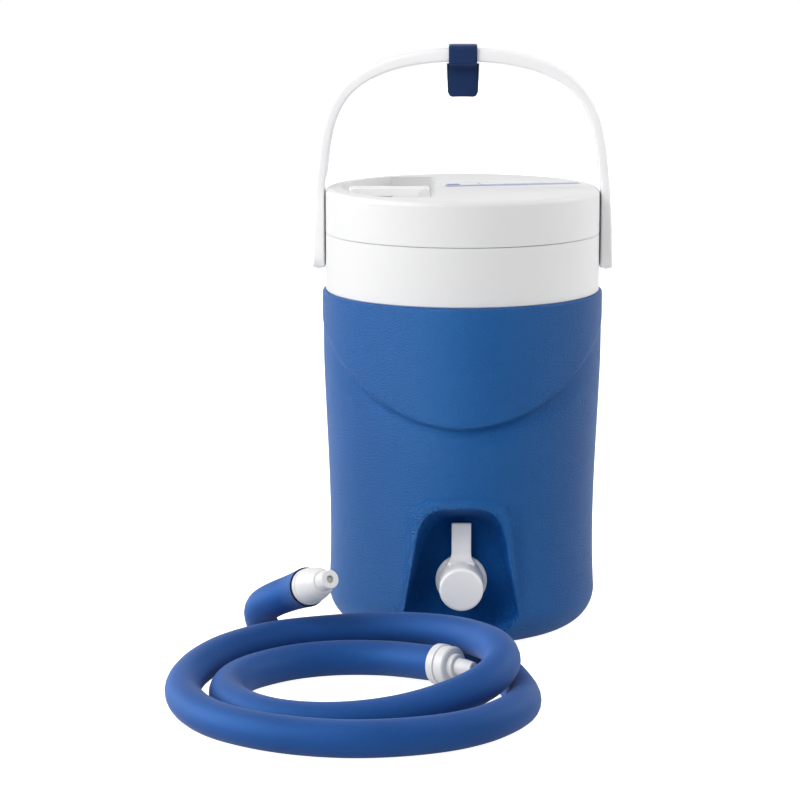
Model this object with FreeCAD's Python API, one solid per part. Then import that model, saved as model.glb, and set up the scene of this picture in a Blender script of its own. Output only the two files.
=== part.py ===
"""Gravity-fed cold-therapy cooler: insulated jug, screw lid, bail handle, capped outlet and cuff hose.

Millimetres. +Z is up, the outlet faces -Y, and the origin is on the floor under the jug's axis.
Each sub-part is one STEP file in parts/.
"""
import FreeCAD, Part
import math
import os

from FreeCAD import Vector

# ---- clearances -------------------------------------------------------------------------------
FOAM_GAP = 0.2          # foam to the skins that hold it
SEAM_GAP = 0.4          # lid skirt to collar
BOND_GAP = 0.15         # parts glued or welded inside one another
SEAT_GAP = 0.3          # parts that touch but belong to different moving bodies
PIVOT_CLEARANCE = 0.06  # radial, stud in socket and pin in lever
CAP_CLEARANCE = 0.05    # radial, cap socket on nozzle

# ---- construction -----------------------------------------------------------------------------
THROUGH = 1.0           # how far a cutter runs past the face it opens
WELD = 1.0              # overlap of two primitives that make one piece
TOLERANCE = 0.01        # for telling edges apart by their place
PARALLEL = 1e-6         # for telling edges apart by their direction

# ---- jug shell --------------------------------------------------------------------------------
SHELL_HEIGHT = 236.0
SHELL_TOP_RADIUS = 97.4
SHELL_TOP_DRAFT = 0.3        # the plain wall under the proud chest, at its top
SHELL_WAIST_INSET = 4.7      # waist, chest and foot are inside the top's radius by these
SHELL_WAIST_RISE = 78.0
SHELL_CHEST_INSET = 1.9
SHELL_CHEST_RISE = 157.0
SHELL_FOOT_INSET = 3.5
SHELL_FOOT_FILLET = 24.0
SHELL_WALL = 2.6
SHELL_LIP_INSET = 4.0        # lip inside the collar's radius
SHELL_TOP_FILLET = 1.6
BASE_RIM_WIDTH = 11.9        # flat ring that the jug stands on
BASE_RECESS_DEPTH = 4.0
FILL_HOLE_OFFSET = 34.0
FILL_PLUG_RADIUS = 8.0
FILL_PLUG_LIP = 3.0
FILL_PLUG_HEAD = 1.6

# The chest of the shell stands proud above a round swoosh line.
SWOOSH_LINE_SHARE = 1.2115   # radius of the line, as a share of the shell's top radius
SWOOSH_CENTRE_RISE = 26.0    # the swoosh circle's centre, above the shell's top edge
SWOOSH_SLOPE = 11.0
SWOOSH_STEP = 2.6

# ---- outlet hood and pocket -------------------------------------------------------------------
OUTLET_HEIGHT = 44.0
HOOD_HEIGHT = 106.5
HOOD_TOP_HALF_WIDTH = 34.5
HOOD_FOOT_HALF_WIDTH = 45.0
HOOD_CORNER = 17.0
HOOD_TOP_PROUD = 3.4
HOOD_FOOT_PROUD = 0.4
HOOD_SLOPE = 3.0
POCKET_RIM_HEIGHT = 6.0      # hood's outline to the mouth's, at the top
POCKET_RIM_TOP = 5.5         # and on each side, at the top and at the foot
POCKET_RIM_FOOT = 1.0
POCKET_MOUTH_CORNER = 13.0
POCKET_MOUTH_PROUD = 1.6     # mouth's outline in front of the shell's top radius
POCKET_ROOF_SLOPE = 10.5     # mouth's outline to the floor's, at the top
POCKET_SIDE_SLOPE_TOP = 6.0  # and on each side, at the top and at the foot
POCKET_SIDE_SLOPE_FOOT = 0.5
POCKET_FLOOR_CORNER = 9.0
POCKET_DEPTH = 26.7          # floor behind the shell's waist
POCKET_RAMP_RADIUS = 22.0

# ---- liner ------------------------------------------------------------------------------------
LINER_WALL = 2.5
LINER_INSET = 3.5            # liner inside the neck's radius
LINER_FLOOR = 14.0
LINER_CORNER = 5.0
FOAM_MINIMUM = 3.0
NECK_INSET = 9.0             # neck inside the collar's radius
NECK_WALL = 3.0
NECK_RISE = 14.0             # neck above the collar's top
NECK_FLARE_DROP = 12.0       # flare from liner to neck ends this far below the shell's top
NECK_FLARE_LENGTH = 7.0
NECK_BEAD = 2.0
NECK_BEAD_HEIGHT = 2.6

# ---- collar -----------------------------------------------------------------------------------
COLLAR_INSET = 2.4           # collar inside the shell's top radius
COLLAR_HEIGHT = 40.0
COLLAR_WALL = 3.6
COLLAR_FLANGE = 3.2
COLLAR_SPIGOT_DEPTH = 8.0
COLLAR_SPIGOT_WALL = 3.0
COLLAR_EDGE = 0.7
SOCKET_FLOOR_GAP = 1.0       # inner end of the pivot socket to the neck

# ---- lid --------------------------------------------------------------------------------------
LID_HEIGHT = 30.6
LID_WALL = 3.5
LID_TOP_THICKNESS = 3.0
LID_EDGE_FILLET = 4.0
PAN_WALL = 2.2
PAN_DEPTH = 22.0             # pan below the neck's rim
PAN_CLEARANCE = 0.5
PAN_FLANGE = 2.2
PAN_BEVEL = 2.0
GASKET_HEIGHT = 1.0

# Finger well in the lid's top, and the vent lever lying across it.
WELL_RIM = 11.0              # lid's rim round the well
WELL_RIGHT_EDGE = -19.0
WELL_LENGTH_SHARE = 0.8      # half length, as a share of the well's radius
WELL_DEPTH = 9.0
WELL_CORNER = 5.0
LEVER_CENTRE_Y = -6.0
LEVER_DROP = 0.1             # lever's top below the lid's
LEVER_WIDTH = 20.0
LEVER_THICKNESS = 4.8
LEVER_TIP_GAP = 5.0          # lever's tip to the well's round end
LEVER_TIP_ROUND = 2.0
LEVER_TIP_CORNER = 4.0
LEVER_PIN_X = -26.0
LEVER_PIN_RADIUS = 1.5
LEVER_BARREL_RADIUS = 4.2
LEVER_SIDE_CLEARANCE = 0.4
LUG_THICKNESS = 3.0
VENT_X = -54.0
VENT_HOLE_RADIUS = 3.0
VENT_TUBE_WALL = 1.6
VENT_PILOT_CLEARANCE = 1.0   # radial, seal's pilot in the vent hole
VENT_PILOT_LENGTH = 2.0
VENT_SEAL_RADIUS = 5.5

# ---- outlet -----------------------------------------------------------------------------------
OUTLET_FLANGE_RADIUS = 17.6
OUTLET_FLANGE_THICKNESS = 3.0
OUTLET_SHANK_RADIUS = 9.0
OUTLET_NOZZLE_RADIUS = 7.0
OUTLET_NOZZLE_LENGTH = 22.0
OUTLET_BORE_RADIUS = 5.2
OUTLET_BEVEL = 1.0
SHANK_END_LENGTH = 2.0       # shank beyond its nut
GASKET_THICKNESS = 1.5
GASKET_INSET = 0.6
NUT_THICKNESS = 6.0
NUT_ACROSS_FLATS = 28.0
NUT_BEVEL = 1.5
CAP_RADIUS = 15.0
CAP_LENGTH = 26.0
CAP_WALL = 2.2
CAP_SOCKET_WALL = 2.0
CAP_EDGE = 1.4
TAB_WIDTH = 13.2
TAB_THICKNESS = 2.8
TAB_GAP = 5.0                # tab's end to the pocket's roof
TAB_CORNER = 1.2
CAP_SEAL_SECTION = 1.6
CAP_SEAL_INSET = 0.1

# ---- handle -----------------------------------------------------------------------------------
HANDLE_DEPTH = 22.0
HANDLE_PIVOT_DROP = 14.0     # pivot below the collar's top
HANDLE_HEAD_GAP = 1.0        # arm to lid
HANDLE_END_PROUD = 8.6       # arm's outer side beyond the collar
HANDLE_GRIP_THICKNESS = 9.2
HANDLE_ARM_THICKNESS = 7.2
HANDLE_JOGGLE_RISE = 5.0     # arm steps in this far above the lid's top
HANDLE_JOGGLE_LENGTH = 4.0
HANDLE_FRONT_EDGE = 2.4
HANDLE_INNER_EDGE = 2.2
STUD_RADIUS = 5.0
STUD_LENGTH = 7.0
SOCKET_WALL = 2.5
# Outer line of the bail, half of it, from the pivot end up to the middle of the grip: half width as a
# share of the widest, and height above the pivot.
BAIL_LINE = [(1.0, -12.0), (0.9932, 14.0), (0.9575, 63.0), (0.9064, 92.0), (0.8012, 112.6), (0.6081, 128.0),
             (0.3185, 137.6), (0.0, 140.4)]

# ---- strap ------------------------------------------------------------------------------------
STRAP_WIDTH = 19.4
STRAP_THICKNESS = 1.6
STRAP_GAP = 0.6
STRAP_BEND = 1.4             # inner radius of the band's corners
FLAP_WIDTH = 22.0
FLAP_LENGTH = 22.0
FLAP_THICKNESS = 3.6
FLAP_CORNER = 4.0
FLAP_TOP_CORNER = 0.8

# ---- hose and couplers ------------------------------------------------------------------------
HOSE_DIAMETER = 23.0
HOSE_ARC_SHARE = 0.45        # share of the shorter run that an arc takes up
COUPLER_BORE_RADIUS = 2.6
COUPLER_EDGE = 0.6
# Route of the hose: from the front coupler round the inner loop, over the crossing, round the outer
# loop, under the crossing, behind the loops and up to the rear coupler.
HOSE_ROUTE = [
    (-14.7, -178.1, 16.5), (-38.0, -159.0, 14.0), (-62.0, -148.5, 12.0), (-89.0, -149.0, 11.5),
    (-117.0, -162.0, 11.5), (-144.0, -191.5, 11.5), (-149.5, -230.0, 11.5), (-133.0, -264.0, 11.5),
    (-103.5, -283.5, 11.5), (-66.0, -287.5, 12.5), (-27.0, -279.5, 16.5), (11.5, -261.5, 26.0),
    (27.5, -234.5, 33.0), (24.0, -204.5, 35.0), (12.0, -172.0, 31.5), (-7.5, -147.5, 29.0),
    (-43.0, -129.0, 26.5), (-85.5, -125.5, 23.0), (-128.0, -141.0, 22.5), (-164.0, -176.5, 20.0),
    (-179.0, -226.0, 14.0), (-161.0, -274.0, 11.5), (-121.5, -306.5, 11.5), (-74.5, -320.5, 11.5),
    (-30.0, -315.5, 11.5), (8.5, -297.5, 11.5), (34.0, -269.5, 13.5), (40.5, -238.0, 11.5),
    (33.5, -198.5, 11.5), (21.0, -158.5, 11.5), (-4.5, -128.0, 11.5), (-39.5, -111.0, 11.5),
    (-73.5, -103.0, 11.5), (-96.6, -101.2, 11.5), (-113.4, -99.4, 11.8), (-125.3, -103.7, 16.0),
    (-132.1, -110.4, 25.5), (-131.8, -117.5, 37.3), (-123.5, -125.5, 46.0), (-108.1, -131.2, 52.5),
    (-100.8, -142.5, 57.9),
]
# Couplers, each turned about its axis: (radius, distance from the sleeve's end) at every step.
FRONT_RING = [(13.3, 0.0), (13.3, 5.6)]
FRONT_COLLAR = [(12.5, 5.6), (12.5, 12.4), (11.8, 13.4)]
FRONT_BODY = [(8.2, 13.4), (8.0, 17.3)]
FRONT_TIP = [(5.6, 17.3), (5.2, 23.4), (4.2, 29.8)]
REAR_RING = [(12.1, 0.0), (12.1, 4.0)]
REAR_BODY = [(11.8, 4.0), (11.3, 10.0), (10.0, 17.0), (7.6, 22.5)]
REAR_NOZZLE = [(6.6, 22.5), (6.1, 32.0)]

PARTS_FOLDER = "parts"
AXIS_X = Vector(1, 0, 0)
AXIS_Y = Vector(0, 1, 0)
AXIS_Z = Vector(0, 0, 1)
ORIGIN = Vector(0, 0, 0)

shell_waist_radius = SHELL_TOP_RADIUS - SHELL_WAIST_INSET
shell_chest_radius = SHELL_TOP_RADIUS - SHELL_CHEST_INSET
shell_foot_radius = SHELL_TOP_RADIUS - SHELL_FOOT_INSET
collar_radius = SHELL_TOP_RADIUS - COLLAR_INSET
shell_lip_radius = collar_radius - SHELL_LIP_INSET
neck_radius = collar_radius - NECK_INSET
liner_radius = neck_radius - LINER_INSET
base_recess_radius = shell_foot_radius - SHELL_FOOT_FILLET - BASE_RIM_WIDTH
swoosh_line_radius = SWOOSH_LINE_SHARE * SHELL_TOP_RADIUS
pocket_floor = shell_waist_radius - POCKET_DEPTH
pocket_mouth = SHELL_TOP_RADIUS + POCKET_MOUTH_PROUD
pocket_mouth_top = HOOD_HEIGHT - POCKET_RIM_HEIGHT
pocket_floor_top = pocket_mouth_top - POCKET_ROOF_SLOPE
pocket_mouth_halves = (HOOD_TOP_HALF_WIDTH - POCKET_RIM_TOP, HOOD_FOOT_HALF_WIDTH - POCKET_RIM_FOOT)
pocket_floor_halves = (
    pocket_mouth_halves[0] - POCKET_SIDE_SLOPE_TOP,
    pocket_mouth_halves[1] - POCKET_SIDE_SLOPE_FOOT,
)
pocket_ramp_top = OUTLET_HEIGHT - OUTLET_FLANGE_RADIUS
collar_top = SHELL_HEIGHT + COLLAR_HEIGHT
lid_bottom = collar_top + SEAM_GAP
lid_top = lid_bottom + LID_HEIGHT
pivot_height = collar_top - HANDLE_PIVOT_DROP
neck_top = collar_top + NECK_RISE
neck_bore = neck_radius - NECK_WALL
pan_radius = neck_bore - PAN_CLEARANCE
lid_bore = collar_radius - LID_WALL
arm_inner = collar_radius + HANDLE_HEAD_GAP
arm_outer = collar_radius + HANDLE_END_PROUD
bail_line = [(share * arm_outer, rise) for share, rise in BAIL_LINE]
well_radius = collar_radius - WELL_RIM
well_half_length = WELL_LENGTH_SHARE * well_radius
well_floor = lid_top - WELL_DEPTH
lever_tip = LEVER_TIP_GAP - well_radius


# ---- helpers ----------------------------------------------------------------------------------
def revolve(points):
    """Turn a closed (radius, height) outline about +Z."""
    corners = [Vector(r, 0, z) for r, z in points]
    face = Part.Face(Part.makePolygon(corners + [corners[0]]))
    return face.revolve(ORIGIN, AXIS_Z, 360)


def revolve_edges(edges):
    """Turn a closed outline of edges in the XZ plane about +Z."""
    return Part.Face(Part.Wire(edges)).revolve(ORIGIN, AXIS_Z, 360)


def tube(radius_out, radius_in, low, high):
    """A plain ring about +Z."""
    outer = Part.makeCylinder(radius_out, high - low, Vector(0, 0, low))
    return outer.cut(Part.makeCylinder(radius_in, high - low, Vector(0, 0, low)))


def along_y(radius, front, back, height=0.0, x=0.0):
    """A cylinder along +Y from front to back."""
    return Part.makeCylinder(radius, back - front, Vector(x, front, height), AXIS_Y)


def line(a, b):
    return Part.LineSegment(a, b).toShape()


def arc(a, middle, b):
    return Part.Arc(a, middle, b).toShape()


def spline(points):
    curve = Part.BSplineCurve()
    curve.interpolate(points)
    return curve.toShape()


def straight_edges(shape, direction, test=lambda edge: True):
    """Straight edges of a shape that run along a direction."""
    found = []
    for edge in shape.Edges:
        if edge.Curve.TypeId != "Part::GeomLine":
            continue
        along = edge.Curve.Direction
        if abs(abs(along.dot(direction)) - 1) < PARALLEL and test(edge):
            found.append(edge)
    return found


def solid_of(shape):
    """The one solid of a boolean result, without leftover seams."""
    clean = shape.removeSplitter()
    if len(clean.Solids) != 1:
        raise ValueError("expected one solid, got %d" % len(clean.Solids))
    return clean.Solids[0]


# ---- jug shell --------------------------------------------------------------------------------
def shell_profile(inset):
    """Edges of the shell's outline, moved inwards by inset, from the axis round to the top edge."""
    foot_flat = shell_foot_radius - SHELL_FOOT_FILLET
    fillet = SHELL_FOOT_FILLET - inset
    diagonal = fillet * math.sqrt(0.5)
    low = Vector(0, 0, inset)
    flat_end = Vector(foot_flat, 0, inset)
    fillet_middle = Vector(foot_flat + diagonal, 0, SHELL_FOOT_FILLET - diagonal)
    fillet_end = Vector(shell_foot_radius - inset, 0, SHELL_FOOT_FILLET)
    waist = Vector(shell_waist_radius - inset, 0, SHELL_WAIST_RISE)
    chest = Vector(shell_chest_radius - inset, 0, SHELL_CHEST_RISE)
    top = Vector(SHELL_TOP_RADIUS - SHELL_TOP_DRAFT - inset, 0, SHELL_HEIGHT - inset)
    axis_top = Vector(0, 0, SHELL_HEIGHT - inset)
    return [
        line(low, flat_end),
        arc(flat_end, fillet_middle, fillet_end),
        spline([fillet_end, waist, chest, top]),
        line(top, axis_top),
        line(axis_top, low),
    ]


def rounded_outline(points, radii):
    """A closed flat wire through points, each corner rounded by its radius."""
    count = len(points)
    starts, ends, edges = [], [], []
    for i, corner in enumerate(points):
        to_last = (points[i - 1] - corner).normalize()
        to_next = (points[(i + 1) % count] - corner).normalize()
        half_angle = math.acos(to_last.dot(to_next)) / 2
        reach = radii[i] / math.tan(half_angle)
        starts.append(corner + to_last * reach)
        ends.append(corner + to_next * reach)
        if radii[i]:
            bisector = (to_last + to_next).normalize()
            middle = corner + bisector * (radii[i] / math.sin(half_angle) - radii[i])
            edges.append(arc(starts[i], middle, ends[i]))
        else:
            edges.append(None)
    ordered = []
    for i in range(count):
        if edges[i] is not None:
            ordered.append(edges[i])
        ordered.append(line(ends[i], starts[(i + 1) % count]))
    return Part.Wire(ordered)


def arch_outline(top_half, foot_half, height, corner, depth):
    """Outline of the hood or pocket, in the plane Y = -depth: leaning sides, rounded top corners."""
    points = [
        Vector(-foot_half, -depth, 0),
        Vector(-top_half, -depth, height),
        Vector(top_half, -depth, height),
        Vector(foot_half, -depth, 0),
    ]
    return rounded_outline(points, [0, corner, corner, 0])


def pocket_space(grow):
    """The outlet pocket's hollow, grown by a wall's thickness, with its ramp out over the foot."""
    floor = arch_outline(
        pocket_floor_halves[0] + grow,
        pocket_floor_halves[1] + grow,
        pocket_floor_top + grow,
        POCKET_FLOOR_CORNER + grow,
        pocket_floor - grow,
    )
    mouth = arch_outline(
        pocket_mouth_halves[0] + grow,
        pocket_mouth_halves[1] + grow,
        pocket_mouth_top + grow,
        POCKET_MOUTH_CORNER + grow,
        pocket_mouth,
    )
    funnel = Part.makeLoft([floor, mouth], True, True)
    reach = pocket_mouth
    ramp = Part.makeCylinder(
        POCKET_RAMP_RADIUS + grow,
        2 * reach,
        Vector(-reach, -pocket_floor - POCKET_RAMP_RADIUS, pocket_ramp_top),
        AXIS_X,
    )
    above = Part.makeBox(2 * reach, reach, 2 * reach, Vector(-reach, -reach, pocket_ramp_top))
    return funnel.common(above.fuse(ramp))


def hood_block():
    """The raised surround of the pocket: an arch, bevelled round its outline, that fades to the foot."""
    outline = arch_outline(
        HOOD_TOP_HALF_WIDTH, HOOD_FOOT_HALF_WIDTH, HOOD_HEIGHT, HOOD_CORNER, pocket_mouth + HOOD_CORNER
    )
    length = pocket_mouth + HOOD_CORNER - pocket_floor / 2
    arch = Part.Face(outline).extrude(Vector(0, length, 0))
    foot_flat = shell_foot_radius - SHELL_FOOT_FILLET
    fillet = SHELL_FOOT_FILLET + HOOD_FOOT_PROUD
    top = HOOD_HEIGHT + HOOD_SLOPE
    low_point = Vector(foot_flat, 0, -HOOD_FOOT_PROUD)
    fillet_end = Vector(foot_flat + fillet, 0, SHELL_FOOT_FILLET)
    diagonal = fillet * math.sqrt(0.5)
    skin = revolve_edges(
        [
            line(Vector(0, 0, -HOOD_FOOT_PROUD), low_point),
            arc(low_point, Vector(foot_flat + diagonal, 0, SHELL_FOOT_FILLET - diagonal), fillet_end),
            line(fillet_end, Vector(shell_waist_radius + HOOD_TOP_PROUD, 0, top)),
            line(Vector(shell_waist_radius + HOOD_TOP_PROUD, 0, top), Vector(0, 0, top)),
            line(Vector(0, 0, top), Vector(0, 0, -HOOD_FOOT_PROUD)),
        ]
    )
    block = arch.common(skin)
    front = -shell_waist_radius / 2
    rim = [
        edge
        for edge in block.Edges
        if edge.BoundBox.YMax < front and edge.BoundBox.ZMax > 0 and edge.BoundBox.YMin < -pocket_floor
    ]
    return block.makeChamfer(HOOD_SLOPE, rim)


def chest_block():
    """The proud chest of the shell above the swoosh line, sloping back to the wall at the line."""
    band_height = swoosh_line_radius
    band_foot = SHELL_HEIGHT - band_height
    drum = Part.makeCylinder(SHELL_TOP_RADIUS, band_height, Vector(0, 0, band_foot))
    reach = 2 * SHELL_TOP_RADIUS
    centre = SHELL_HEIGHT + SWOOSH_CENTRE_RISE
    band = drum.common(along_y(swoosh_line_radius, -reach, reach, centre))
    swoosh = [edge for edge in band.Edges if edge.BoundBox.ZMax < SHELL_HEIGHT - SHELL_TOP_FILLET]
    return band.makeChamfer(SWOOSH_SLOPE, SWOOSH_STEP, swoosh)


def base_recess(grow):
    """The hollow under the base, grown by a wall's thickness."""
    return Part.makeCone(
        base_recess_radius + BASE_RECESS_DEPTH / 2 + grow,
        base_recess_radius + grow,
        BASE_RECESS_DEPTH + grow,
    )


def outlet_hole(radius):
    """A hole on the outlet's axis, from in front of the jug to well inside the liner."""
    return along_y(radius, -pocket_mouth, -pocket_floor / 2, OUTLET_HEIGHT)


def fill_hole(radius):
    """The foam filling hole in the base."""
    return Part.makeCylinder(radius, LINER_FLOOR, Vector(0, FILL_HOLE_OFFSET, 0))


def make_outer_shell():
    """Blow-moulded shell: tapered wall, proud chest, hood round the outlet, pocket, lip for the collar."""
    body = revolve_edges(shell_profile(0)).fuse(chest_block()).fuse(hood_block())
    top_edges = [
        edge
        for edge in body.Edges
        if abs(edge.BoundBox.ZMin - SHELL_HEIGHT) < TOLERANCE and edge.BoundBox.XMax > shell_chest_radius
    ]
    body = body.makeFillet(SHELL_TOP_FILLET, top_edges)
    body = body.cut(pocket_space(0)).cut(base_recess(0))
    cavity = revolve_edges(shell_profile(SHELL_WALL)).cut(pocket_space(SHELL_WALL)).cut(base_recess(SHELL_WALL))
    mouth = Part.makeCylinder(shell_lip_radius, SHELL_HEIGHT / 2, Vector(0, 0, SHELL_HEIGHT / 2 + THROUGH))
    shell = body.cut(cavity.fuse(mouth))
    shell = shell.cut(outlet_hole(OUTLET_SHANK_RADIUS + BOND_GAP)).cut(fill_hole(FILL_PLUG_RADIUS + BOND_GAP))
    return solid_of(shell)


# ---- liner and insulation ---------------------------------------------------------------------
def liner_blank(grow):
    """Outer form of the liner, grown by a gap or, with a negative value, shrunk to its hollow."""
    flare_top = SHELL_HEIGHT - NECK_FLARE_DROP
    flare_foot = flare_top - NECK_FLARE_LENGTH
    radius = liner_radius + grow
    floor = LINER_FLOOR - grow
    corner = LINER_CORNER + grow
    neck = neck_radius + grow
    top = neck_top + abs(grow)
    points = [
        Vector(0, 0, floor),
        Vector(radius, 0, floor),
        Vector(radius, 0, flare_foot),
        Vector(neck, 0, flare_top),
        Vector(neck, 0, top),
        Vector(0, 0, top),
    ]
    body = Part.Face(rounded_outline(points, [0, corner, 0, 0, 0, 0])).revolve(ORIGIN, AXIS_Z, 360)
    return body.cut(pocket_space(SHELL_WALL + FOAM_MINIMUM - grow))


def make_liner():
    """Liner: thin drum with a dent round the outlet pocket, flared to a thicker neck with a snap bead."""
    hollow = liner_blank(-LINER_WALL)
    bore = Part.makeCylinder(neck_bore, NECK_RISE + COLLAR_HEIGHT + THROUGH, Vector(0, 0, SHELL_HEIGHT))
    bead_top = collar_top - COLLAR_FLANGE - BOND_GAP
    bead = tube(neck_radius + NECK_BEAD, neck_radius - WELD, bead_top - NECK_BEAD_HEIGHT, bead_top)
    solid_drum = liner_blank(0)
    drum = solid_drum.cut(hollow.common(Part.makeCylinder(SHELL_TOP_RADIUS, SHELL_HEIGHT)))
    liner = drum.cut(bore).fuse(bead)
    return solid_of(liner.cut(outlet_hole(OUTLET_SHANK_RADIUS + BOND_GAP)))


def make_foam():
    """Foam that fills the space between shell and liner up to the collar's spigot."""
    skin = SHELL_WALL + FOAM_GAP
    block = revolve_edges(shell_profile(skin)).cut(pocket_space(skin)).cut(base_recess(skin))
    top = SHELL_HEIGHT - COLLAR_SPIGOT_DEPTH - FOAM_GAP
    block = block.common(Part.makeCylinder(SHELL_TOP_RADIUS, top))
    foam = block.cut(liner_blank(FOAM_GAP))
    foam = foam.cut(outlet_hole(OUTLET_SHANK_RADIUS + FOAM_GAP)).cut(fill_hole(FILL_PLUG_RADIUS + FOAM_GAP))
    return solid_of(foam)


def make_fill_plug():
    """Push-in plug of the filling hole, its head under the base."""
    head_top = BASE_RECESS_DEPTH
    head = Part.makeCylinder(
        FILL_PLUG_RADIUS + FILL_PLUG_LIP, FILL_PLUG_HEAD, Vector(0, FILL_HOLE_OFFSET, head_top - FILL_PLUG_HEAD)
    )
    stem = Part.makeCylinder(FILL_PLUG_RADIUS, SHELL_WALL + FILL_PLUG_LIP, Vector(0, FILL_HOLE_OFFSET, head_top))
    return solid_of(head.fuse(stem))


# ---- collar -----------------------------------------------------------------------------------
def make_collar():
    """Collar: skirt between lid and shell, flange round the neck, spigot in the shell, two pivot sockets."""
    inner = collar_radius - COLLAR_WALL
    spigot_out = shell_lip_radius - BOND_GAP
    spigot_in = spigot_out - COLLAR_SPIGOT_WALL
    ring_foot = SHELL_HEIGHT
    ring = revolve(
        [
            (spigot_in, ring_foot - COLLAR_SPIGOT_DEPTH),
            (spigot_out, ring_foot - COLLAR_SPIGOT_DEPTH),
            (spigot_out, ring_foot),
            (collar_radius - COLLAR_EDGE, ring_foot),
            (collar_radius, ring_foot + COLLAR_EDGE),
            (collar_radius, collar_top - COLLAR_EDGE),
            (collar_radius - COLLAR_EDGE, collar_top),
            (neck_radius + BOND_GAP, collar_top),
            (neck_radius + BOND_GAP, collar_top - COLLAR_FLANGE),
            (inner, collar_top - COLLAR_FLANGE),
            (inner, ring_foot + COLLAR_FLANGE),
            (spigot_in, ring_foot + COLLAR_FLANGE),
        ]
    )
    socket_end = neck_radius + SOCKET_FLOOR_GAP
    for side in (-1, 1):
        axis = Vector(side, 0, 0)
        inside = Vector(side * socket_end, 0, pivot_height)
        boss = Part.makeCylinder(STUD_RADIUS + SOCKET_WALL, inner + WELD - socket_end, inside, axis)
        ring = ring.fuse(boss)
    for side in (-1, 1):
        axis = Vector(side, 0, 0)
        bore = Part.makeCylinder(
            STUD_RADIUS + PIVOT_CLEARANCE, collar_radius, Vector(side * socket_end, 0, pivot_height), axis
        )
        ring = ring.cut(bore)
    return solid_of(ring)


# ---- outlet -----------------------------------------------------------------------------------
def turned(points, base, direction):
    """Turn a closed (radius, distance) outline about an axis from a base point."""
    shape = revolve(points)
    shape.Placement = FreeCAD.Placement(base, FreeCAD.Rotation(AXIS_Z, direction))
    return shape


def outlet_turned(points):
    """A turned piece on the outlet's axis; distances count outwards from the pocket's floor."""
    return turned(points, Vector(0, -pocket_floor, OUTLET_HEIGHT), Vector(0, -1, 0))


flange_back = GASKET_THICKNESS
flange_front = flange_back + OUTLET_FLANGE_THICKNESS
nozzle_end = flange_front + OUTLET_NOZZLE_LENGTH
liner_face = -(SHELL_WALL + FOAM_MINIMUM + LINER_WALL)
nut_back = liner_face - GASKET_THICKNESS
nut_end = nut_back - NUT_THICKNESS
shank_end = nut_end - SHANK_END_LENGTH
cap_back = flange_front + SEAT_GAP
cap_front = cap_back + CAP_LENGTH


def make_outlet_fitting():
    """Bulkhead spigot: flange in front, nozzle outside, shank through both walls, one bore."""
    return outlet_turned(
        [
            (OUTLET_BORE_RADIUS, shank_end),
            (OUTLET_SHANK_RADIUS, shank_end),
            (OUTLET_SHANK_RADIUS, flange_back),
            (OUTLET_FLANGE_RADIUS, flange_back),
            (OUTLET_FLANGE_RADIUS, flange_front - OUTLET_BEVEL),
            (OUTLET_FLANGE_RADIUS - OUTLET_BEVEL, flange_front),
            (OUTLET_NOZZLE_RADIUS, flange_front),
            (OUTLET_NOZZLE_RADIUS, nozzle_end - OUTLET_BEVEL),
            (OUTLET_NOZZLE_RADIUS - OUTLET_BEVEL, nozzle_end),
            (OUTLET_BORE_RADIUS, nozzle_end),
        ]
    )


def outlet_ring(radius_out, radius_in, start, end):
    return outlet_turned([(radius_in, start), (radius_out, start), (radius_out, end), (radius_in, end)])


def make_outlet_gasket():
    return outlet_ring(OUTLET_FLANGE_RADIUS - GASKET_INSET, OUTLET_SHANK_RADIUS + BOND_GAP, 0, flange_back)


def make_outlet_washer():
    return outlet_ring(NUT_ACROSS_FLATS / 2 - GASKET_INSET, OUTLET_SHANK_RADIUS + BOND_GAP, nut_back, liner_face)


def make_outlet_nut():
    """Hexagon nut on the shank, its corners bevelled by a turned blank."""
    corner = NUT_ACROSS_FLATS / math.sqrt(3)
    points = [
        Vector(corner * math.cos(math.radians(60 * i)), corner * math.sin(math.radians(60 * i)), nut_end)
        for i in range(6)
    ]
    hexagon = Part.Face(Part.makePolygon(points + [points[0]])).extrude(Vector(0, 0, NUT_THICKNESS))
    blank = revolve(
        [
            (OUTLET_SHANK_RADIUS + BOND_GAP, nut_end),
            (corner - NUT_BEVEL, nut_end),
            (corner, nut_end + NUT_BEVEL),
            (corner, nut_back),
            (OUTLET_SHANK_RADIUS + BOND_GAP, nut_back),
        ]
    )
    nut = hexagon.common(blank)
    nut.Placement = FreeCAD.Placement(
        Vector(0, -pocket_floor, OUTLET_HEIGHT), FreeCAD.Rotation(AXIS_Z, Vector(0, -1, 0))
    )
    return solid_of(nut)


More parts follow.
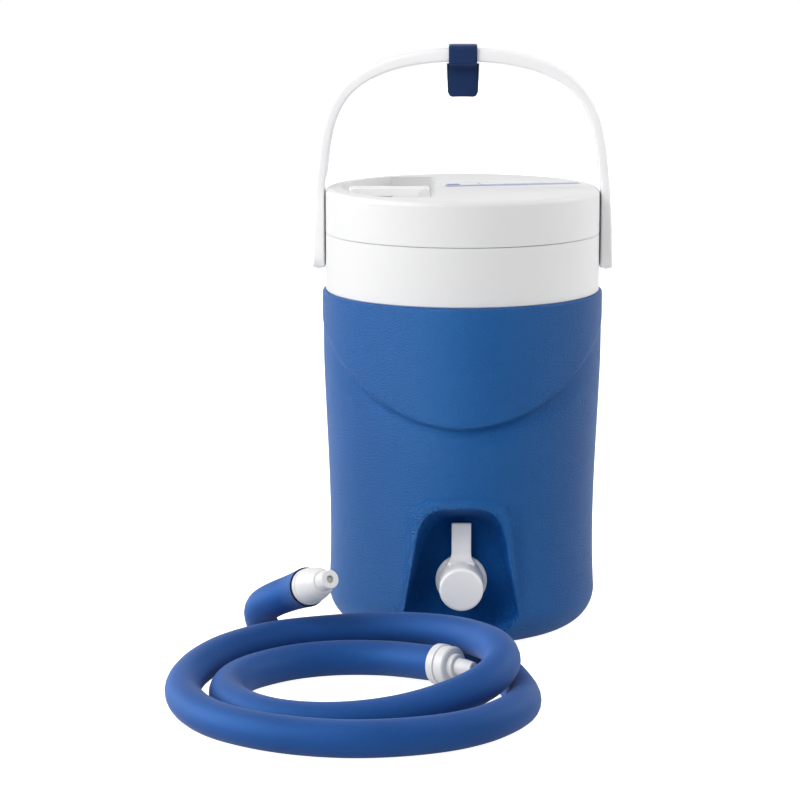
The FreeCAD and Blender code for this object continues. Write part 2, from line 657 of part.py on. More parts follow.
def make_outlet_cap():
    """Drum with a rounded closed face and an inner socket for the nozzle; a pull tab on its rear rim."""
    socket_radius = OUTLET_NOZZLE_RADIUS + CAP_CLEARANCE
    face_back = cap_front - CAP_WALL
    drum = outlet_turned(
        [
            (0, cap_front),
            (CAP_RADIUS - CAP_EDGE, cap_front),
            (CAP_RADIUS, cap_front - CAP_EDGE),
            (CAP_RADIUS, cap_back),
            (CAP_RADIUS - CAP_WALL, cap_back),
            (CAP_RADIUS - CAP_WALL, face_back),
            (socket_radius + CAP_SOCKET_WALL, face_back),
            (socket_radius + CAP_SOCKET_WALL, cap_back + CAP_WALL),
            (socket_radius, cap_back + CAP_WALL),
            (socket_radius, face_back),
            (0, face_back),
        ]
    )
    half = TAB_WIDTH / 2
    back = -pocket_floor - cap_back
    foot = OUTLET_HEIGHT + CAP_RADIUS - CAP_WALL
    top = pocket_floor_top - TAB_GAP
    outline = rounded_outline(
        [Vector(-half, back, foot), Vector(-half, back, top), Vector(half, back, top), Vector(half, back, foot)],
        [0, TAB_CORNER, TAB_CORNER, 0],
    )
    tab = Part.Face(outline).extrude(Vector(0, -TAB_THICKNESS, 0))
    hollow = along_y(CAP_RADIUS - CAP_WALL, back - TAB_THICKNESS, back, OUTLET_HEIGHT)
    cap = drum.fuse(tab.cut(hollow))
    return solid_of(cap.cut(along_y(socket_radius, back - TAB_THICKNESS, back, OUTLET_HEIGHT)))


def make_cap_seal():
    """Rubber ring at the bottom of the cap's socket, just in front of the nozzle."""
    radius = OUTLET_NOZZLE_RADIUS - CAP_SEAL_INSET
    face_back = cap_front - CAP_WALL
    return outlet_ring(radius, OUTLET_BORE_RADIUS, face_back - CAP_SEAL_SECTION, face_back)


# ---- lid --------------------------------------------------------------------------------------
def well_space(grow):
    """Finger well of the lid, grown by a wall: a round-ended half of the top, left of a straight edge."""
    low = well_floor - grow
    disc = Part.makeCylinder(well_radius + grow, lid_top + THROUGH - low, Vector(0, 0, low))
    half = well_half_length + grow
    length = well_radius + grow + WELL_RIGHT_EDGE + grow
    slab = Part.makeBox(length, 2 * half, lid_top + THROUGH - low, Vector(-well_radius - grow, -half, low))
    well = disc.common(slab)
    return well.makeFillet(WELL_CORNER + grow, straight_edges(well, AXIS_Z))


def vent_hole(radius, low, high):
    return Part.makeCylinder(radius, high - low, Vector(VENT_X, LEVER_CENTRE_Y, low))


lever_top = lid_top - LEVER_DROP
pin_height = lever_top - LEVER_BARREL_RADIUS
pan_foot = neck_top - PAN_DEPTH
pan_flange_foot = neck_top + SEAT_GAP + GASKET_HEIGHT
pin_half = LEVER_WIDTH / 2 + LEVER_SIDE_CLEARANCE + LUG_THICKNESS
vent_tube_radius = VENT_HOLE_RADIUS + VENT_TUBE_WALL


def make_lid_top():
    """Lid's outer shell: skirt, rounded rim, sunk finger well with two hinge lugs, and the vent tube."""
    body = Part.makeCylinder(collar_radius, LID_HEIGHT, Vector(0, 0, lid_bottom))
    rim = [edge for edge in body.Edges if edge.BoundBox.ZMin > lid_top - TOLERANCE]
    body = body.makeFillet(LID_EDGE_FILLET, rim)
    room = Part.makeCylinder(lid_bore, LID_HEIGHT - LID_TOP_THICKNESS, Vector(0, 0, lid_bottom))
    shell = body.cut(room.cut(well_space(LID_TOP_THICKNESS))).cut(well_space(0))
    for side in (-1, 1):
        inner = LEVER_CENTRE_Y + side * (LEVER_WIDTH / 2 + LEVER_SIDE_CLEARANCE)
        low = min(inner, inner + side * LUG_THICKNESS)
        round_top = along_y(LEVER_BARREL_RADIUS, low, low + LUG_THICKNESS, pin_height, LEVER_PIN_X)
        foot = Part.makeBox(
            2 * LEVER_BARREL_RADIUS,
            LUG_THICKNESS,
            pin_height - well_floor,
            Vector(LEVER_PIN_X - LEVER_BARREL_RADIUS, low, well_floor),
        )
        shell = shell.fuse(round_top.fuse(foot))
    pin_hole = along_y(
        LEVER_PIN_RADIUS, LEVER_CENTRE_Y - pin_half, LEVER_CENTRE_Y + pin_half, pin_height, LEVER_PIN_X
    )
    shell = shell.cut(pin_hole)
    shell = shell.fuse(vent_hole(vent_tube_radius, pan_foot, well_floor - LID_TOP_THICKNESS))
    return solid_of(shell.cut(vent_hole(VENT_HOLE_RADIUS, pan_foot, lid_top)))


def make_lid_pan():
    """Lid's lower pan: a plug in the neck with a flange welded into the skirt."""
    edge = lid_bore - BOND_GAP
    pan = revolve(
        [
            (0, pan_foot),
            (pan_radius - PAN_BEVEL, pan_foot),
            (pan_radius, pan_foot + PAN_BEVEL),
            (pan_radius, pan_flange_foot),
            (edge, pan_flange_foot),
            (edge, pan_flange_foot + PAN_FLANGE),
            (pan_radius - PAN_WALL, pan_flange_foot + PAN_FLANGE),
            (pan_radius - PAN_WALL, pan_foot + PAN_WALL + PAN_BEVEL / 2),
            (pan_radius - PAN_WALL - PAN_BEVEL / 2, pan_foot + PAN_WALL),
            (0, pan_foot + PAN_WALL),
        ]
    )
    return solid_of(pan.cut(vent_hole(vent_tube_radius + BOND_GAP, pan_foot, pan_foot + PAN_WALL)))


def make_lid_foam():
    """Insulation disc between pan and lid, under the finger well."""
    foot = pan_foot + PAN_WALL + FOAM_GAP
    radius = pan_radius - PAN_WALL - PAN_BEVEL / 2
    top = lid_top - LID_TOP_THICKNESS - FOAM_GAP
    disc = Part.makeCylinder(radius, top - foot, Vector(0, 0, foot))
    disc = disc.cut(well_space(LID_TOP_THICKNESS + FOAM_GAP))
    return solid_of(disc.cut(vent_hole(vent_tube_radius + FOAM_GAP, foot, top)))


def make_lid_gasket():
    """Flat rubber ring under the pan's flange, above the neck's rim."""
    foot = neck_top + SEAT_GAP
    return tube(neck_radius, pan_radius + BOND_GAP, foot, foot + GASKET_HEIGHT)


def make_vent_lever():
    """Flip lever across the well: a bar with a rounded tip and a hinge barrel."""
    low = LEVER_CENTRE_Y - LEVER_WIDTH / 2
    high = LEVER_CENTRE_Y + LEVER_WIDTH / 2
    under = lever_top - LEVER_THICKNESS
    outline = rounded_outline(
        [
            Vector(LEVER_PIN_X, low, under),
            Vector(LEVER_PIN_X, low, lever_top),
            Vector(lever_tip, low, lever_top),
            Vector(lever_tip, low, under),
        ],
        [0, 0, LEVER_TIP_ROUND, LEVER_TIP_ROUND],
    )
    bar = Part.Face(outline).extrude(Vector(0, LEVER_WIDTH, 0))
    plan = rounded_outline(
        [
            Vector(lever_tip, low, under),
            Vector(lever_tip, high, under),
            Vector(LEVER_PIN_X, high, under),
            Vector(LEVER_PIN_X, low, under),
        ],
        [LEVER_TIP_CORNER, LEVER_TIP_CORNER, 0, 0],
    )
    bar = bar.common(Part.Face(plan).extrude(Vector(0, 0, LEVER_THICKNESS)))
    barrel = along_y(LEVER_BARREL_RADIUS, low, high, pin_height, LEVER_PIN_X)
    bore = along_y(LEVER_PIN_RADIUS + PIVOT_CLEARANCE, low, high, pin_height, LEVER_PIN_X)
    return solid_of(bar.fuse(barrel).cut(bore))


def make_vent_pin():
    return along_y(LEVER_PIN_RADIUS, LEVER_CENTRE_Y - pin_half, LEVER_CENTRE_Y + pin_half, pin_height, LEVER_PIN_X)


def make_vent_seal():
    """Rubber stopper under the lever, with a pilot in the vent hole."""
    foot = well_floor + SEAT_GAP
    under = lever_top - LEVER_THICKNESS
    disc = vent_hole(VENT_SEAL_RADIUS, foot, under)
    return solid_of(disc.fuse(vent_hole(VENT_HOLE_RADIUS - VENT_PILOT_CLEARANCE, foot - VENT_PILOT_LENGTH, foot)))


# ---- handle and strap -------------------------------------------------------------------------
def bail_half_width(height):
    """Half width of the bail's outer line at a height above the pivot."""
    for (wide, low), (narrow, high) in zip(bail_line, bail_line[1:]):
        if low <= height <= high:
            return wide + (narrow - wide) * (height - low) / (high - low)
    raise ValueError("height is outside the bail")


def bail_inner_line():
    """Inner line of the bail: the outer one moved in by a thickness that grows towards the grip."""
    widest = bail_line[0][0]
    joggle_top = lid_top + HANDLE_JOGGLE_RISE + HANDLE_JOGGLE_LENGTH - pivot_height
    points = [(bail_half_width(joggle_top) - HANDLE_ARM_THICKNESS, joggle_top)]
    for i in range(1, len(bail_line)):
        x, z = bail_line[i]
        if z < joggle_top + HANDLE_JOGGLE_LENGTH:
            continue
        x_before, z_before = bail_line[i - 1]
        x_after, z_after = bail_line[i + 1] if i + 1 < len(bail_line) else (-x_before, z_before)
        run = math.hypot(x_after - x_before, z_after - z_before)
        normal = ((z_after - z_before) / run, (x_before - x_after) / run)
        thickness = HANDLE_GRIP_THICKNESS + (HANDLE_ARM_THICKNESS - HANDLE_GRIP_THICKNESS) * x / widest
        points.append((x - thickness * normal[0], z - thickness * normal[1]))
    return points


def mirrored(points, depth):
    """Right half of a line, from its foot up, as 3-D points from the left foot to the right foot."""
    right = [Vector(x, depth, pivot_height + z) for x, z in points]
    left = [Vector(-x, depth, pivot_height + z) for x, z in points[:-1]]
    return left + right[::-1]


def make_handle():
    """Bail: arched bar, thicker at the grip, stepped round the lid, with a stud at each round end."""
    depth = -HANDLE_DEPTH / 2
    outer = mirrored(bail_line, depth)
    inner = mirrored(bail_inner_line(), depth)
    foot = outer[0].z
    joggle_foot = lid_top + HANDLE_JOGGLE_RISE
    left = [Vector(-arm_inner, depth, joggle_foot), Vector(-arm_inner, depth, foot)]
    right = [Vector(arm_inner, depth, joggle_foot), Vector(arm_inner, depth, foot)]
    edges = [
        spline(outer),
        line(outer[-1], right[1]),
        line(right[1], right[0]),
        line(right[0], inner[-1]),
        spline(inner),
        line(inner[0], left[0]),
        line(left[0], left[1]),
        line(left[1], outer[0]),
    ]
    bar = Part.Face(Part.Wire(Part.__sortEdges__(edges))).extrude(Vector(0, HANDLE_DEPTH, 0))
    reach = 2 * bail_line[0][0]
    ends = Part.makeCylinder(HANDLE_DEPTH / 2, reach, Vector(-reach / 2, 0, pivot_height), AXIS_X)
    side = Part.makeBox(reach, HANDLE_DEPTH, reach, Vector(-reach / 2, depth, pivot_height))
    bar = bar.common(ends.fuse(side))
    splines = [edge for edge in bar.Edges if edge.Curve.TypeId == "Part::GeomBSplineCurve"]
    between = pivot_height + bail_line[-1][1] - HANDLE_GRIP_THICKNESS / 2
    inner_edges = [edge for edge in splines if edge.Length > HANDLE_DEPTH and edge.BoundBox.ZMax < between]
    bar = bar.makeChamfer(HANDLE_INNER_EDGE, inner_edges)
    outer_edges = [
        edge
        for edge in bar.Edges
        if edge.Curve.TypeId == "Part::GeomBSplineCurve" and edge.BoundBox.ZMax > between
    ]
    bar = bar.makeFillet(HANDLE_FRONT_EDGE, outer_edges)
    for sign in (-1, 1):
        axis = Vector(-sign, 0, 0)
        start = Vector(sign * arm_inner, 0, pivot_height)
        bar = bar.fuse(Part.makeCylinder(STUD_RADIUS, STUD_LENGTH + HANDLE_HEAD_GAP, start, axis))
    return solid_of(bar)


def make_strap_band():
    """Webbing loop round the middle of the grip."""
    grip_top = pivot_height + bail_line[-1][1]
    half_depth = HANDLE_DEPTH / 2 + STRAP_GAP
    low = grip_top - HANDLE_GRIP_THICKNESS - STRAP_GAP
    high = grip_top + STRAP_GAP
    x = -STRAP_WIDTH / 2

    def ring(grow):
        y_out = half_depth + grow
        points = [
            Vector(x, -y_out, low - grow),
            Vector(x, -y_out, high + grow),
            Vector(x, y_out, high + grow),
            Vector(x, y_out, low - grow),
        ]
        return Part.Face(rounded_outline(points, [STRAP_BEND + grow] * len(points))).extrude(Vector(STRAP_WIDTH, 0, 0))

    return solid_of(ring(STRAP_THICKNESS).cut(ring(0)))


def make_strap_flap():
    """The strap's two ends pressed together, hanging under the band."""
    top = pivot_height + bail_line[-1][1] - HANDLE_GRIP_THICKNESS - STRAP_GAP - STRAP_THICKNESS
    half = FLAP_WIDTH / 2
    front = -FLAP_THICKNESS / 2
    outline = rounded_outline(
        [
            Vector(-half, front, top - FLAP_LENGTH),
            Vector(-half, front, top),
            Vector(half, front, top),
            Vector(half, front, top - FLAP_LENGTH),
        ],
        [FLAP_CORNER, FLAP_TOP_CORNER, FLAP_TOP_CORNER, FLAP_CORNER],
    )
    return solid_of(Part.Face(outline).extrude(Vector(0, FLAP_THICKNESS, 0)))


# ---- hose and couplers ------------------------------------------------------------------------
hose_points = [Vector(*point) for point in HOSE_ROUTE]


def hose_path():
    """Straight runs joined by the largest tangent arcs they allow; also returns the arcs' radii."""
    edges, radii = [], []
    start = hose_points[0]
    for before, corner, after in zip(hose_points, hose_points[1:], hose_points[2:]):
        back = before - corner
        on = after - corner
        reach = HOSE_ARC_SHARE * min(back.Length, on.Length)
        back.normalize()
        on.normalize()
        half_angle = back.getAngle(on) / 2
        radius = reach * math.tan(half_angle)
        middle = corner + (back + on).normalize() * (radius / math.sin(half_angle) - radius)
        edges.append(line(start, corner + back * reach))
        edges.append(arc(corner + back * reach, middle, corner + on * reach))
        start = corner + on * reach
        radii.append(radius)
    edges.append(line(start, hose_points[-1]))
    return Part.Wire(edges), radii


def make_hose_sleeve():
    """Foam-sleeved hose as one plain tube along its route."""
    path, radii = hose_path()
    along = (hose_points[1] - hose_points[0]).normalize()
    section = Part.Wire(Part.makeCircle(HOSE_DIAMETER / 2, hose_points[0], along))
    tube_solid = path.makePipeShell([section], True, False)
    expected = math.pi * HOSE_DIAMETER**2 / 4 * path.Length
    print("hose length %.1f, volume ratio %.4f" % (path.Length, tube_solid.Volume / expected))
    print("hose radii", " ".join("%.0f" % radius for radius in radii))
    return tube_solid


def coupler_piece(steps, end, before):
    """One turned, bored piece of a coupler on the hose's end, its outer corners bevelled."""
    first, last = steps[0], steps[-1]
    points = [(COUPLER_BORE_RADIUS, first[1]), (first[0] - COUPLER_EDGE, first[1])]
    points.append((first[0], first[1] + COUPLER_EDGE / 2))
    points.extend(steps[1:-1])
    points.append((last[0], last[1] - COUPLER_EDGE / 2))
    points.extend([(last[0] - COUPLER_EDGE, last[1]), (COUPLER_BORE_RADIUS, last[1])])
    return turned(points, end, end - before)


def front_coupler(steps):
    return coupler_piece(steps, hose_points[0], hose_points[1])


def rear_coupler(steps):
    return coupler_piece(steps, hose_points[-1], hose_points[-2])


# ---- all pieces -------------------------------------------------------------------------------
def build_all():
    """Every sub-part by the name of its file."""
    return {
        "outer_shell": make_outer_shell(),
        "foam_insulation": make_foam(),
        "inner_liner": make_liner(),
        "fill_plug": make_fill_plug(),
        "collar_ring": make_collar(),
        "outlet_fitting": make_outlet_fitting(),
        "outlet_gasket": make_outlet_gasket(),
        "outlet_washer": make_outlet_washer(),
        "outlet_nut": make_outlet_nut(),
        "outlet_cap": make_outlet_cap(),
        "cap_seal": make_cap_seal(),
        "lid_top_shell": make_lid_top(),
        "lid_bottom_pan": make_lid_pan(),
        "lid_foam": make_lid_foam(),
        "lid_gasket": make_lid_gasket(),
        "vent_lever": make_vent_lever(),
        "vent_pin": make_vent_pin(),
        "vent_seal": make_vent_seal(),
        "handle_bail": make_handle(),
        "strap_band": make_strap_band(),
        "strap_flap": make_strap_flap(),
        "hose_sleeve": make_hose_sleeve(),
        "front_coupler_ring": front_coupler(FRONT_RING),
        "front_coupler_collar": front_coupler(FRONT_COLLAR),
        "front_coupler_body": front_coupler(FRONT_BODY),
        "front_coupler_tip": front_coupler(FRONT_TIP),
        "rear_coupler_ring": rear_coupler(REAR_RING),
        "rear_coupler_body": rear_coupler(REAR_BODY),
        "rear_coupler_nozzle": rear_coupler(REAR_NOZZLE),
    }


def main():
    os.makedirs(PARTS_FOLDER, exist_ok=True)
    for name, solid in build_all().items():
        if not solid.isValid() or len(solid.Solids) != 1:
            raise ValueError("%s is not one valid solid" % name)
        solid.exportStep(os.path.join(PARTS_FOLDER, name + ".step"))
        print("%s %.1f cm3" % (name, solid.Volume / 1000))


main()
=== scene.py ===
"""Gravity-fed cold-therapy cooler: the looks of the jug, its lid, handle, strap, outlet and cuff hose.

Metres. +Z is up, the outlet faces -Y, and the origin is on the floor under the jug's axis.
"""
import math

import bmesh
import bpy
import numpy as np
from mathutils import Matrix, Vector


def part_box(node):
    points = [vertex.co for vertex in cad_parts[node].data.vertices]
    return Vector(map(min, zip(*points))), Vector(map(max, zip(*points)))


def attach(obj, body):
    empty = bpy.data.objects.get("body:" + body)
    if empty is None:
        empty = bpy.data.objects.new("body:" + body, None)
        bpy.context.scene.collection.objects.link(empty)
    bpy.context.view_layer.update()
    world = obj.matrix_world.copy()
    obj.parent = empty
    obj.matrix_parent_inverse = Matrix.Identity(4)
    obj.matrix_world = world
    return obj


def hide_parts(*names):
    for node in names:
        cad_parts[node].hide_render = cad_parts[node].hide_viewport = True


bl_info = {
    "name": "Cold Therapy Cooler",
    "version": (1, 0, 0),
    "blender": (4, 5, 0),
    "location": "3D View > Sidebar > Cooler",
    "description": "Dresses the packed cooler: shell, lid, handle, strap, outlet, hose and studio",
    "category": "Object",
}

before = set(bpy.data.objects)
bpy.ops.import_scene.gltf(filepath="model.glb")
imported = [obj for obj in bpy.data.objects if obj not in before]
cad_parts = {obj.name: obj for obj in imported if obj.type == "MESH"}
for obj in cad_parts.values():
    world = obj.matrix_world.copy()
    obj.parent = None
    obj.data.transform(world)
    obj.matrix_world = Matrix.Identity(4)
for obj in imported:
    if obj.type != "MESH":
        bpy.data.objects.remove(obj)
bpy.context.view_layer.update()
MM = 0.001
WALL_REACH = 0.095  # metres, turns an angle round the wall into a length
YARN = 0.0011  # metres, width of a pair of the strap's yarns

# Route of the hose, from the front coupler round both loops to the raised rear coupler.
HOSE_ROUTE = [
    (-0.0147, -0.1781, 0.0165), (-0.0380, -0.1590, 0.0140), (-0.0620, -0.1485, 0.0120),
    (-0.0890, -0.1490, 0.0115), (-0.1170, -0.1620, 0.0115), (-0.1440, -0.1915, 0.0115),
    (-0.1495, -0.2300, 0.0115), (-0.1330, -0.2640, 0.0115), (-0.1035, -0.2835, 0.0115),
    (-0.0660, -0.2875, 0.0125), (-0.0270, -0.2795, 0.0165), (0.0115, -0.2615, 0.0260),
    (0.0275, -0.2345, 0.0330), (0.0240, -0.2045, 0.0350), (0.0120, -0.1720, 0.0315),
    (-0.0075, -0.1475, 0.0290), (-0.0430, -0.1290, 0.0265), (-0.0855, -0.1255, 0.0230),
    (-0.1280, -0.1410, 0.0225), (-0.1640, -0.1765, 0.0200), (-0.1790, -0.2260, 0.0140),
    (-0.1610, -0.2740, 0.0115), (-0.1215, -0.3065, 0.0115), (-0.0745, -0.3205, 0.0115),
    (-0.0300, -0.3155, 0.0115), (0.0085, -0.2975, 0.0115), (0.0340, -0.2695, 0.0135),
    (0.0405, -0.2380, 0.0115), (0.0335, -0.1985, 0.0115), (0.0210, -0.1585, 0.0115),
    (-0.0045, -0.1280, 0.0115), (-0.0395, -0.1110, 0.0115), (-0.0735, -0.1030, 0.0115),
    (-0.0966, -0.1012, 0.0115), (-0.1150, -0.1010, 0.0115), (-0.1285, -0.1045, 0.0145),
    (-0.1345, -0.1110, 0.0250), (-0.1345, -0.1175, 0.0370), (-0.1245, -0.1255, 0.0450),
    (-0.1081, -0.1312, 0.0525), (-0.1008, -0.1425, 0.0579),
]


# ---- shader maths -----------------------------------------------------------------------------
class Term:
    """A material socket that takes part in sums: arithmetic on it adds Math nodes."""

    def __init__(self, finish, socket):
        self.finish = finish
        self.socket = socket

    def math(self, operation, *others):
        node = self.finish.node("ShaderNodeMath", {"operation": operation}, (self, *others))
        return Term(self.finish, node.outputs[0])

    def __add__(self, other):
        return self.math("ADD", other)

    __radd__ = __add__

    def __mul__(self, other):
        return self.math("MULTIPLY", other)

    def __sub__(self, other):
        return self.math("SUBTRACT", other)

    def __rsub__(self, other):
        node = self.finish.node("ShaderNodeMath", {"operation": "SUBTRACT"}, (other, self))
        return Term(self.finish, node.outputs[0])

    def __pow__(self, other):
        return self.math("POWER", other)

    def __abs__(self):
        return self.math("ABSOLUTE")

    def step(self, low, high):
        """Smooth rise from 0 at low to 1 at high."""
        node = self.finish.node(
            "ShaderNodeMapRange", {"interpolation_type": "SMOOTHSTEP"}, (self, low, high, 0.0, 1.0)
        )
        return Term(self.finish, node.outputs[0])


class Finish:
    """One procedural material: a Principled shader and the nodes that feed it."""

    def __init__(self, name, colour, roughness, **fixed):
        self.material = bpy.data.materials.new(name)
        self.material.use_nodes = True
        self.tree = self.material.node_tree
        self.shader = self.tree.nodes["Principled BSDF"]
        self.set("Base Color", colour)
        self.set("Roughness", roughness)
        for socket, value in fixed.items():
            self.set(socket.replace("_", " "), value)
        self.place = self.node("ShaderNodeTexCoord").outputs["Object"]

    def node(self, kind, settings=None, values=()):
        """A node of a kind, its settings made first, then its sockets by order or by name."""
        made = self.tree.nodes.new(kind)
        for name, value in (settings or {}).items():
            setattr(made, name, value)
        pairs = values.items() if isinstance(values, dict) else enumerate(values)
        for socket, value in pairs:
            self.feed(made.inputs[socket], value)
        return made

    def feed(self, socket, value):
        """Links a term or an output to a socket, or sets the socket's value; a colour may leave out alpha."""
        if isinstance(value, Term):
            value = value.socket
        if isinstance(value, bpy.types.NodeSocket):
            self.tree.links.new(value, socket)
        elif isinstance(value, tuple) and len(value) == 3 and socket.type == "RGBA":
            socket.default_value = (*value, 1.0)
        else:
            socket.default_value = value

    def set(self, socket, value):
        self.feed(self.shader.inputs[socket], value)

    def ramp(self, factor, stops):
        """A colour ramp on a factor, from (position, colour) stops."""
        made = self.tree.nodes.new("ShaderNodeValToRGB")
        points = made.color_ramp.elements
        while len(points) < len(stops):
            points.new(0.5)
        for point, (position, colour) in zip(points, stops):
            point.position = position
            point.color = (*colour, 1.0)
        self.feed(made.inputs["Fac"], factor)
        return made.outputs["Color"]

    def mix(self, factor, first, second):
        made = self.node("ShaderNodeMix", {"data_type": "RGBA"})
        self.feed(made.inputs["Factor"], factor)
        self.feed(made.inputs["A"], first)
        self.feed(made.inputs["B"], second)
        return made.outputs["Result"]

    def axes(self, vector=None):
        parts = self.node("ShaderNodeSeparateXYZ", None, (vector or self.place,))
        return [Term(self, parts.outputs[i]) for i in range(3)]

    def vector(self, x, y, z):
        return self.node("ShaderNodeCombineXYZ", None, (x, y, z)).outputs[0]

    def noise(self, scale, detail, rough, vector=None):
        made = self.node("ShaderNodeTexNoise", None, {"Vector": vector or self.place, "Scale": scale,
                         "Detail": detail, "Roughness": rough})
        return Term(self, made.outputs[0])

    def cells(self, scale, vector=None):
        made = self.node("ShaderNodeTexVoronoi", {"feature": "F1"},
                         {"Vector": vector or self.place, "Scale": scale})
        return Term(self, made.outputs["Distance"])

    def bump(self, height, strength, distance):
        made = self.node("ShaderNodeBump", None,
                         {"Strength": strength, "Distance": distance, "Height": height})
        self.set("Normal", made.outputs[0])


finishes = {}


def finish(name, maker, colour, *more):
    """The named material, made once by its maker from a colour."""
    if name not in finishes:
        finishes[name] = maker(name, tuple(colour), *more).material
    return finishes[name]


def shade(colour, share, lift=0.0):
    """A colour made darker or lighter by a share, then lifted, with 1 as the most."""
    return tuple(min(1.0, c * share + lift) for c in colour)


def paint(target, material):
    """Gives an object, or a CAD node by name, one material in all its slots."""
    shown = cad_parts[target] if isinstance(target, str) else target
    slots = shown.material_slots
    if len(slots):
        for each in slots:
            each.material = material
    else:
        shown.data.materials.append(material)


def grained_blue(name, colour):
    """Moulded blue shell: a fine leather grain that runs slantwise round the wall, with a bluish gloss.

    The grain's strokes also vary the tone a little, and the roughness.
    """
    made = Finish(name, colour, 0.42, Specular_IOR_Level=0.9, Specular_Tint=(0.15, 0.5, 1.0))
    x, y, z = made.axes()
    around = x.math("ARCTAN2", y * -1.0) * WALL_REACH
    slant = made.vector((around + z) * 0.55, (around - z) * 1.0, 0.0)
    strokes = made.noise(1500.0, 2.0, 0.6, slant)
    pebbles = made.cells(1050.0, slant)
    height = strokes * 0.7 + (1.0 - pebbles) * 0.5
    made.bump(height, 1.0, 0.0023)
    tone = made.noise(9.0, 3.0, 0.5)
    stops = [(0.3, shade(colour, 0.88)), (0.7, shade(colour, 1.12, 0.004))]
    made.set("Base Color", made.ramp(tone * 0.6 + strokes * 0.4, stops))
    made.set("Roughness", 0.31 + strokes * 0.12)
    return made


def white_plastic(name, colour, roughness=0.32):
    """Moulded white plastic: an even skin with faint flow marks and a very fine texture."""
    made = Finish(name, colour, roughness, Specular_IOR_Level=0.12)
    flow = made.noise(14.0, 2.0, 0.5)
    skin = made.noise(1500.0, 2.0, 0.5)
    made.set("Base Color", made.ramp(flow, [(0.3, shade(colour, 0.985)), (0.7, colour)]))
    made.set("Roughness", roughness - 0.03 + flow * 0.06)
    made.bump(skin, 0.08, 0.0002)
    return made


def hose_foam(name, colour):
    """Closed-cell foam sleeve: matt blue skin with fine pores, slow changes of tone and a bluish gloss.

    Its raised cut end has painted shade: the colour is darkened where a place is within the sleeve's width of
    the end and past the plane across it.
    """
    made = Finish(name, colour, 0.62, Specular_IOR_Level=0.4, Specular_Tint=(0.2, 0.55, 1.0), Sheen_Weight=0.08,
                  Sheen_Roughness=0.5)
    pores = made.cells(900.0)
    skin = made.noise(420.0, 3.0, 0.6)
    tone = made.noise(16.0, 2.0, 0.5)
    end = Vector(HOSE_ROUTE[-1])
    along = (end - Vector(HOSE_ROUTE[-2])).normalized()
    gaps = [part - place for part, place in zip(made.axes(), end)]
    past = gaps[0] * along.x + gaps[1] * along.y + gaps[2] * along.z
    away = (gaps[0] * gaps[0] + gaps[1] * gaps[1] + gaps[2] * gaps[2]) ** 0.5
    # Painted shade on the raised cut end of the sleeve, standing in for the shadow on its end face.
    painted_end_shade = past.step(-0.0016, -0.0008) * (1.0 - away.step(0.015, 0.018))
    stops = [(0.3, shade(colour, 0.87)), (0.7, shade(colour, 1.15, 0.004))]
    body = made.ramp(tone * 0.7 + skin * 0.3, stops)
    made.set("Base Color", made.mix(painted_end_shade, body, shade(colour, 0.12)))
    made.set("Roughness", 0.56 + skin * 0.12)
    made.bump(skin * 0.6 + pores * 0.4, 0.22, 0.0005)
    return made


def black_rubber(name, colour):
    """Moulded rubber with a dusty skin."""
    made = Finish(name, colour, 0.6)
    skin = made.noise(600.0, 3.0, 0.6)
    made.set("Base Color", made.ramp(skin, [(0.3, shade(colour, 0.8)), (0.7, shade(colour, 1.3))]))
    made.bump(skin, 0.15, 0.0003)
    return made


def rigid_foam(name, colour):
    """Poured insulating foam with open bubbles."""
    made = Finish(name, colour, 0.9)
    bubbles = made.cells(380.0)
    made.set("Base Color", made.ramp(bubbles, [(0.1, shade(colour, 0.75)), (0.6, colour)]))
    made.bump(bubbles, 0.4, 0.0008)
    return made


def webbing(name, colour):
    """Woven strap: a plain weave of fuzzy yarn on the piece's own map, sine across times sine along."""
    made = Finish(name, colour, 0.75, Specular_IOR_Level=0.2, Sheen_Weight=0.08, Sheen_Roughness=0.4)
    u, v, _ = made.axes(made.node("ShaderNodeUVMap", {"uv_map": "weave"}).outputs[0])
    across, along = ((part * (math.pi * 2 / YARN)).math("SINE") for part in (u, v))
    weave = abs(across * along)
    fuzz = made.noise(2200.0, 2.0, 0.6)
    yarn = weave * 0.7 + fuzz * 0.3
    made.set("Base Color", made.ramp(yarn, [(0.1, shade(colour, 0.62)), (0.8, shade(colour, 1.25))]))
    made.bump(yarn, 0.6, 0.0004)
    return made


# ---- surfaces ---------------------------------------------------------------------------------
def placed(name, data):
    """A new object of the scene that shows a mesh, curve, light or camera."""
    made = bpy.data.objects.new(name, data)
    bpy.context.scene.collection.objects.link(made)
    return made


def thicken(target, thickness, offset=-1.0):
    """A wall behind the surface, or with offset 0 to both sides of it."""
    wall = target.modifiers.new("thickness", "SOLIDIFY")
    wall.thickness = thickness
    wall.offset = offset


def grid_mesh(name, points, wrap_u=False, wrap_v=False, uv=None):
    """A mesh object from a rows x columns x 3 array of points, in metres.

    Neighbouring points join in quads; wrap_u joins the last column to the first, wrap_v the last row to
    the first.
    """
    rows, columns = points.shape[:2]
    index = np.arange(rows * columns).reshape(rows, columns)
    if wrap_u:
        index = np.concatenate([index, index[:, :1]], axis=1)
    if wrap_v:
        index = np.concatenate([index, index[:1]], axis=0)
    quads = np.stack([index[:-1, :-1], index[:-1, 1:], index[1:, 1:], index[1:, :-1]], axis=-1).reshape(-1, 4)
    mesh = bpy.data.meshes.new(name)
    mesh.from_pydata(points.reshape(-1, 3).tolist(), [], quads.tolist())
    mesh.polygons.foreach_set("use_smooth", np.ones(len(quads), bool))
    if uv is not None:
        layer = mesh.uv_layers.new(name="weave")
        corners = np.empty(len(mesh.loops), np.int32)
        mesh.loops.foreach_get("vertex_index", corners)
        layer.data.foreach_set("uv", uv.reshape(-1, 2)[corners].astype(np.float32).ravel())
    mesh.update()
    return placed(name, mesh)


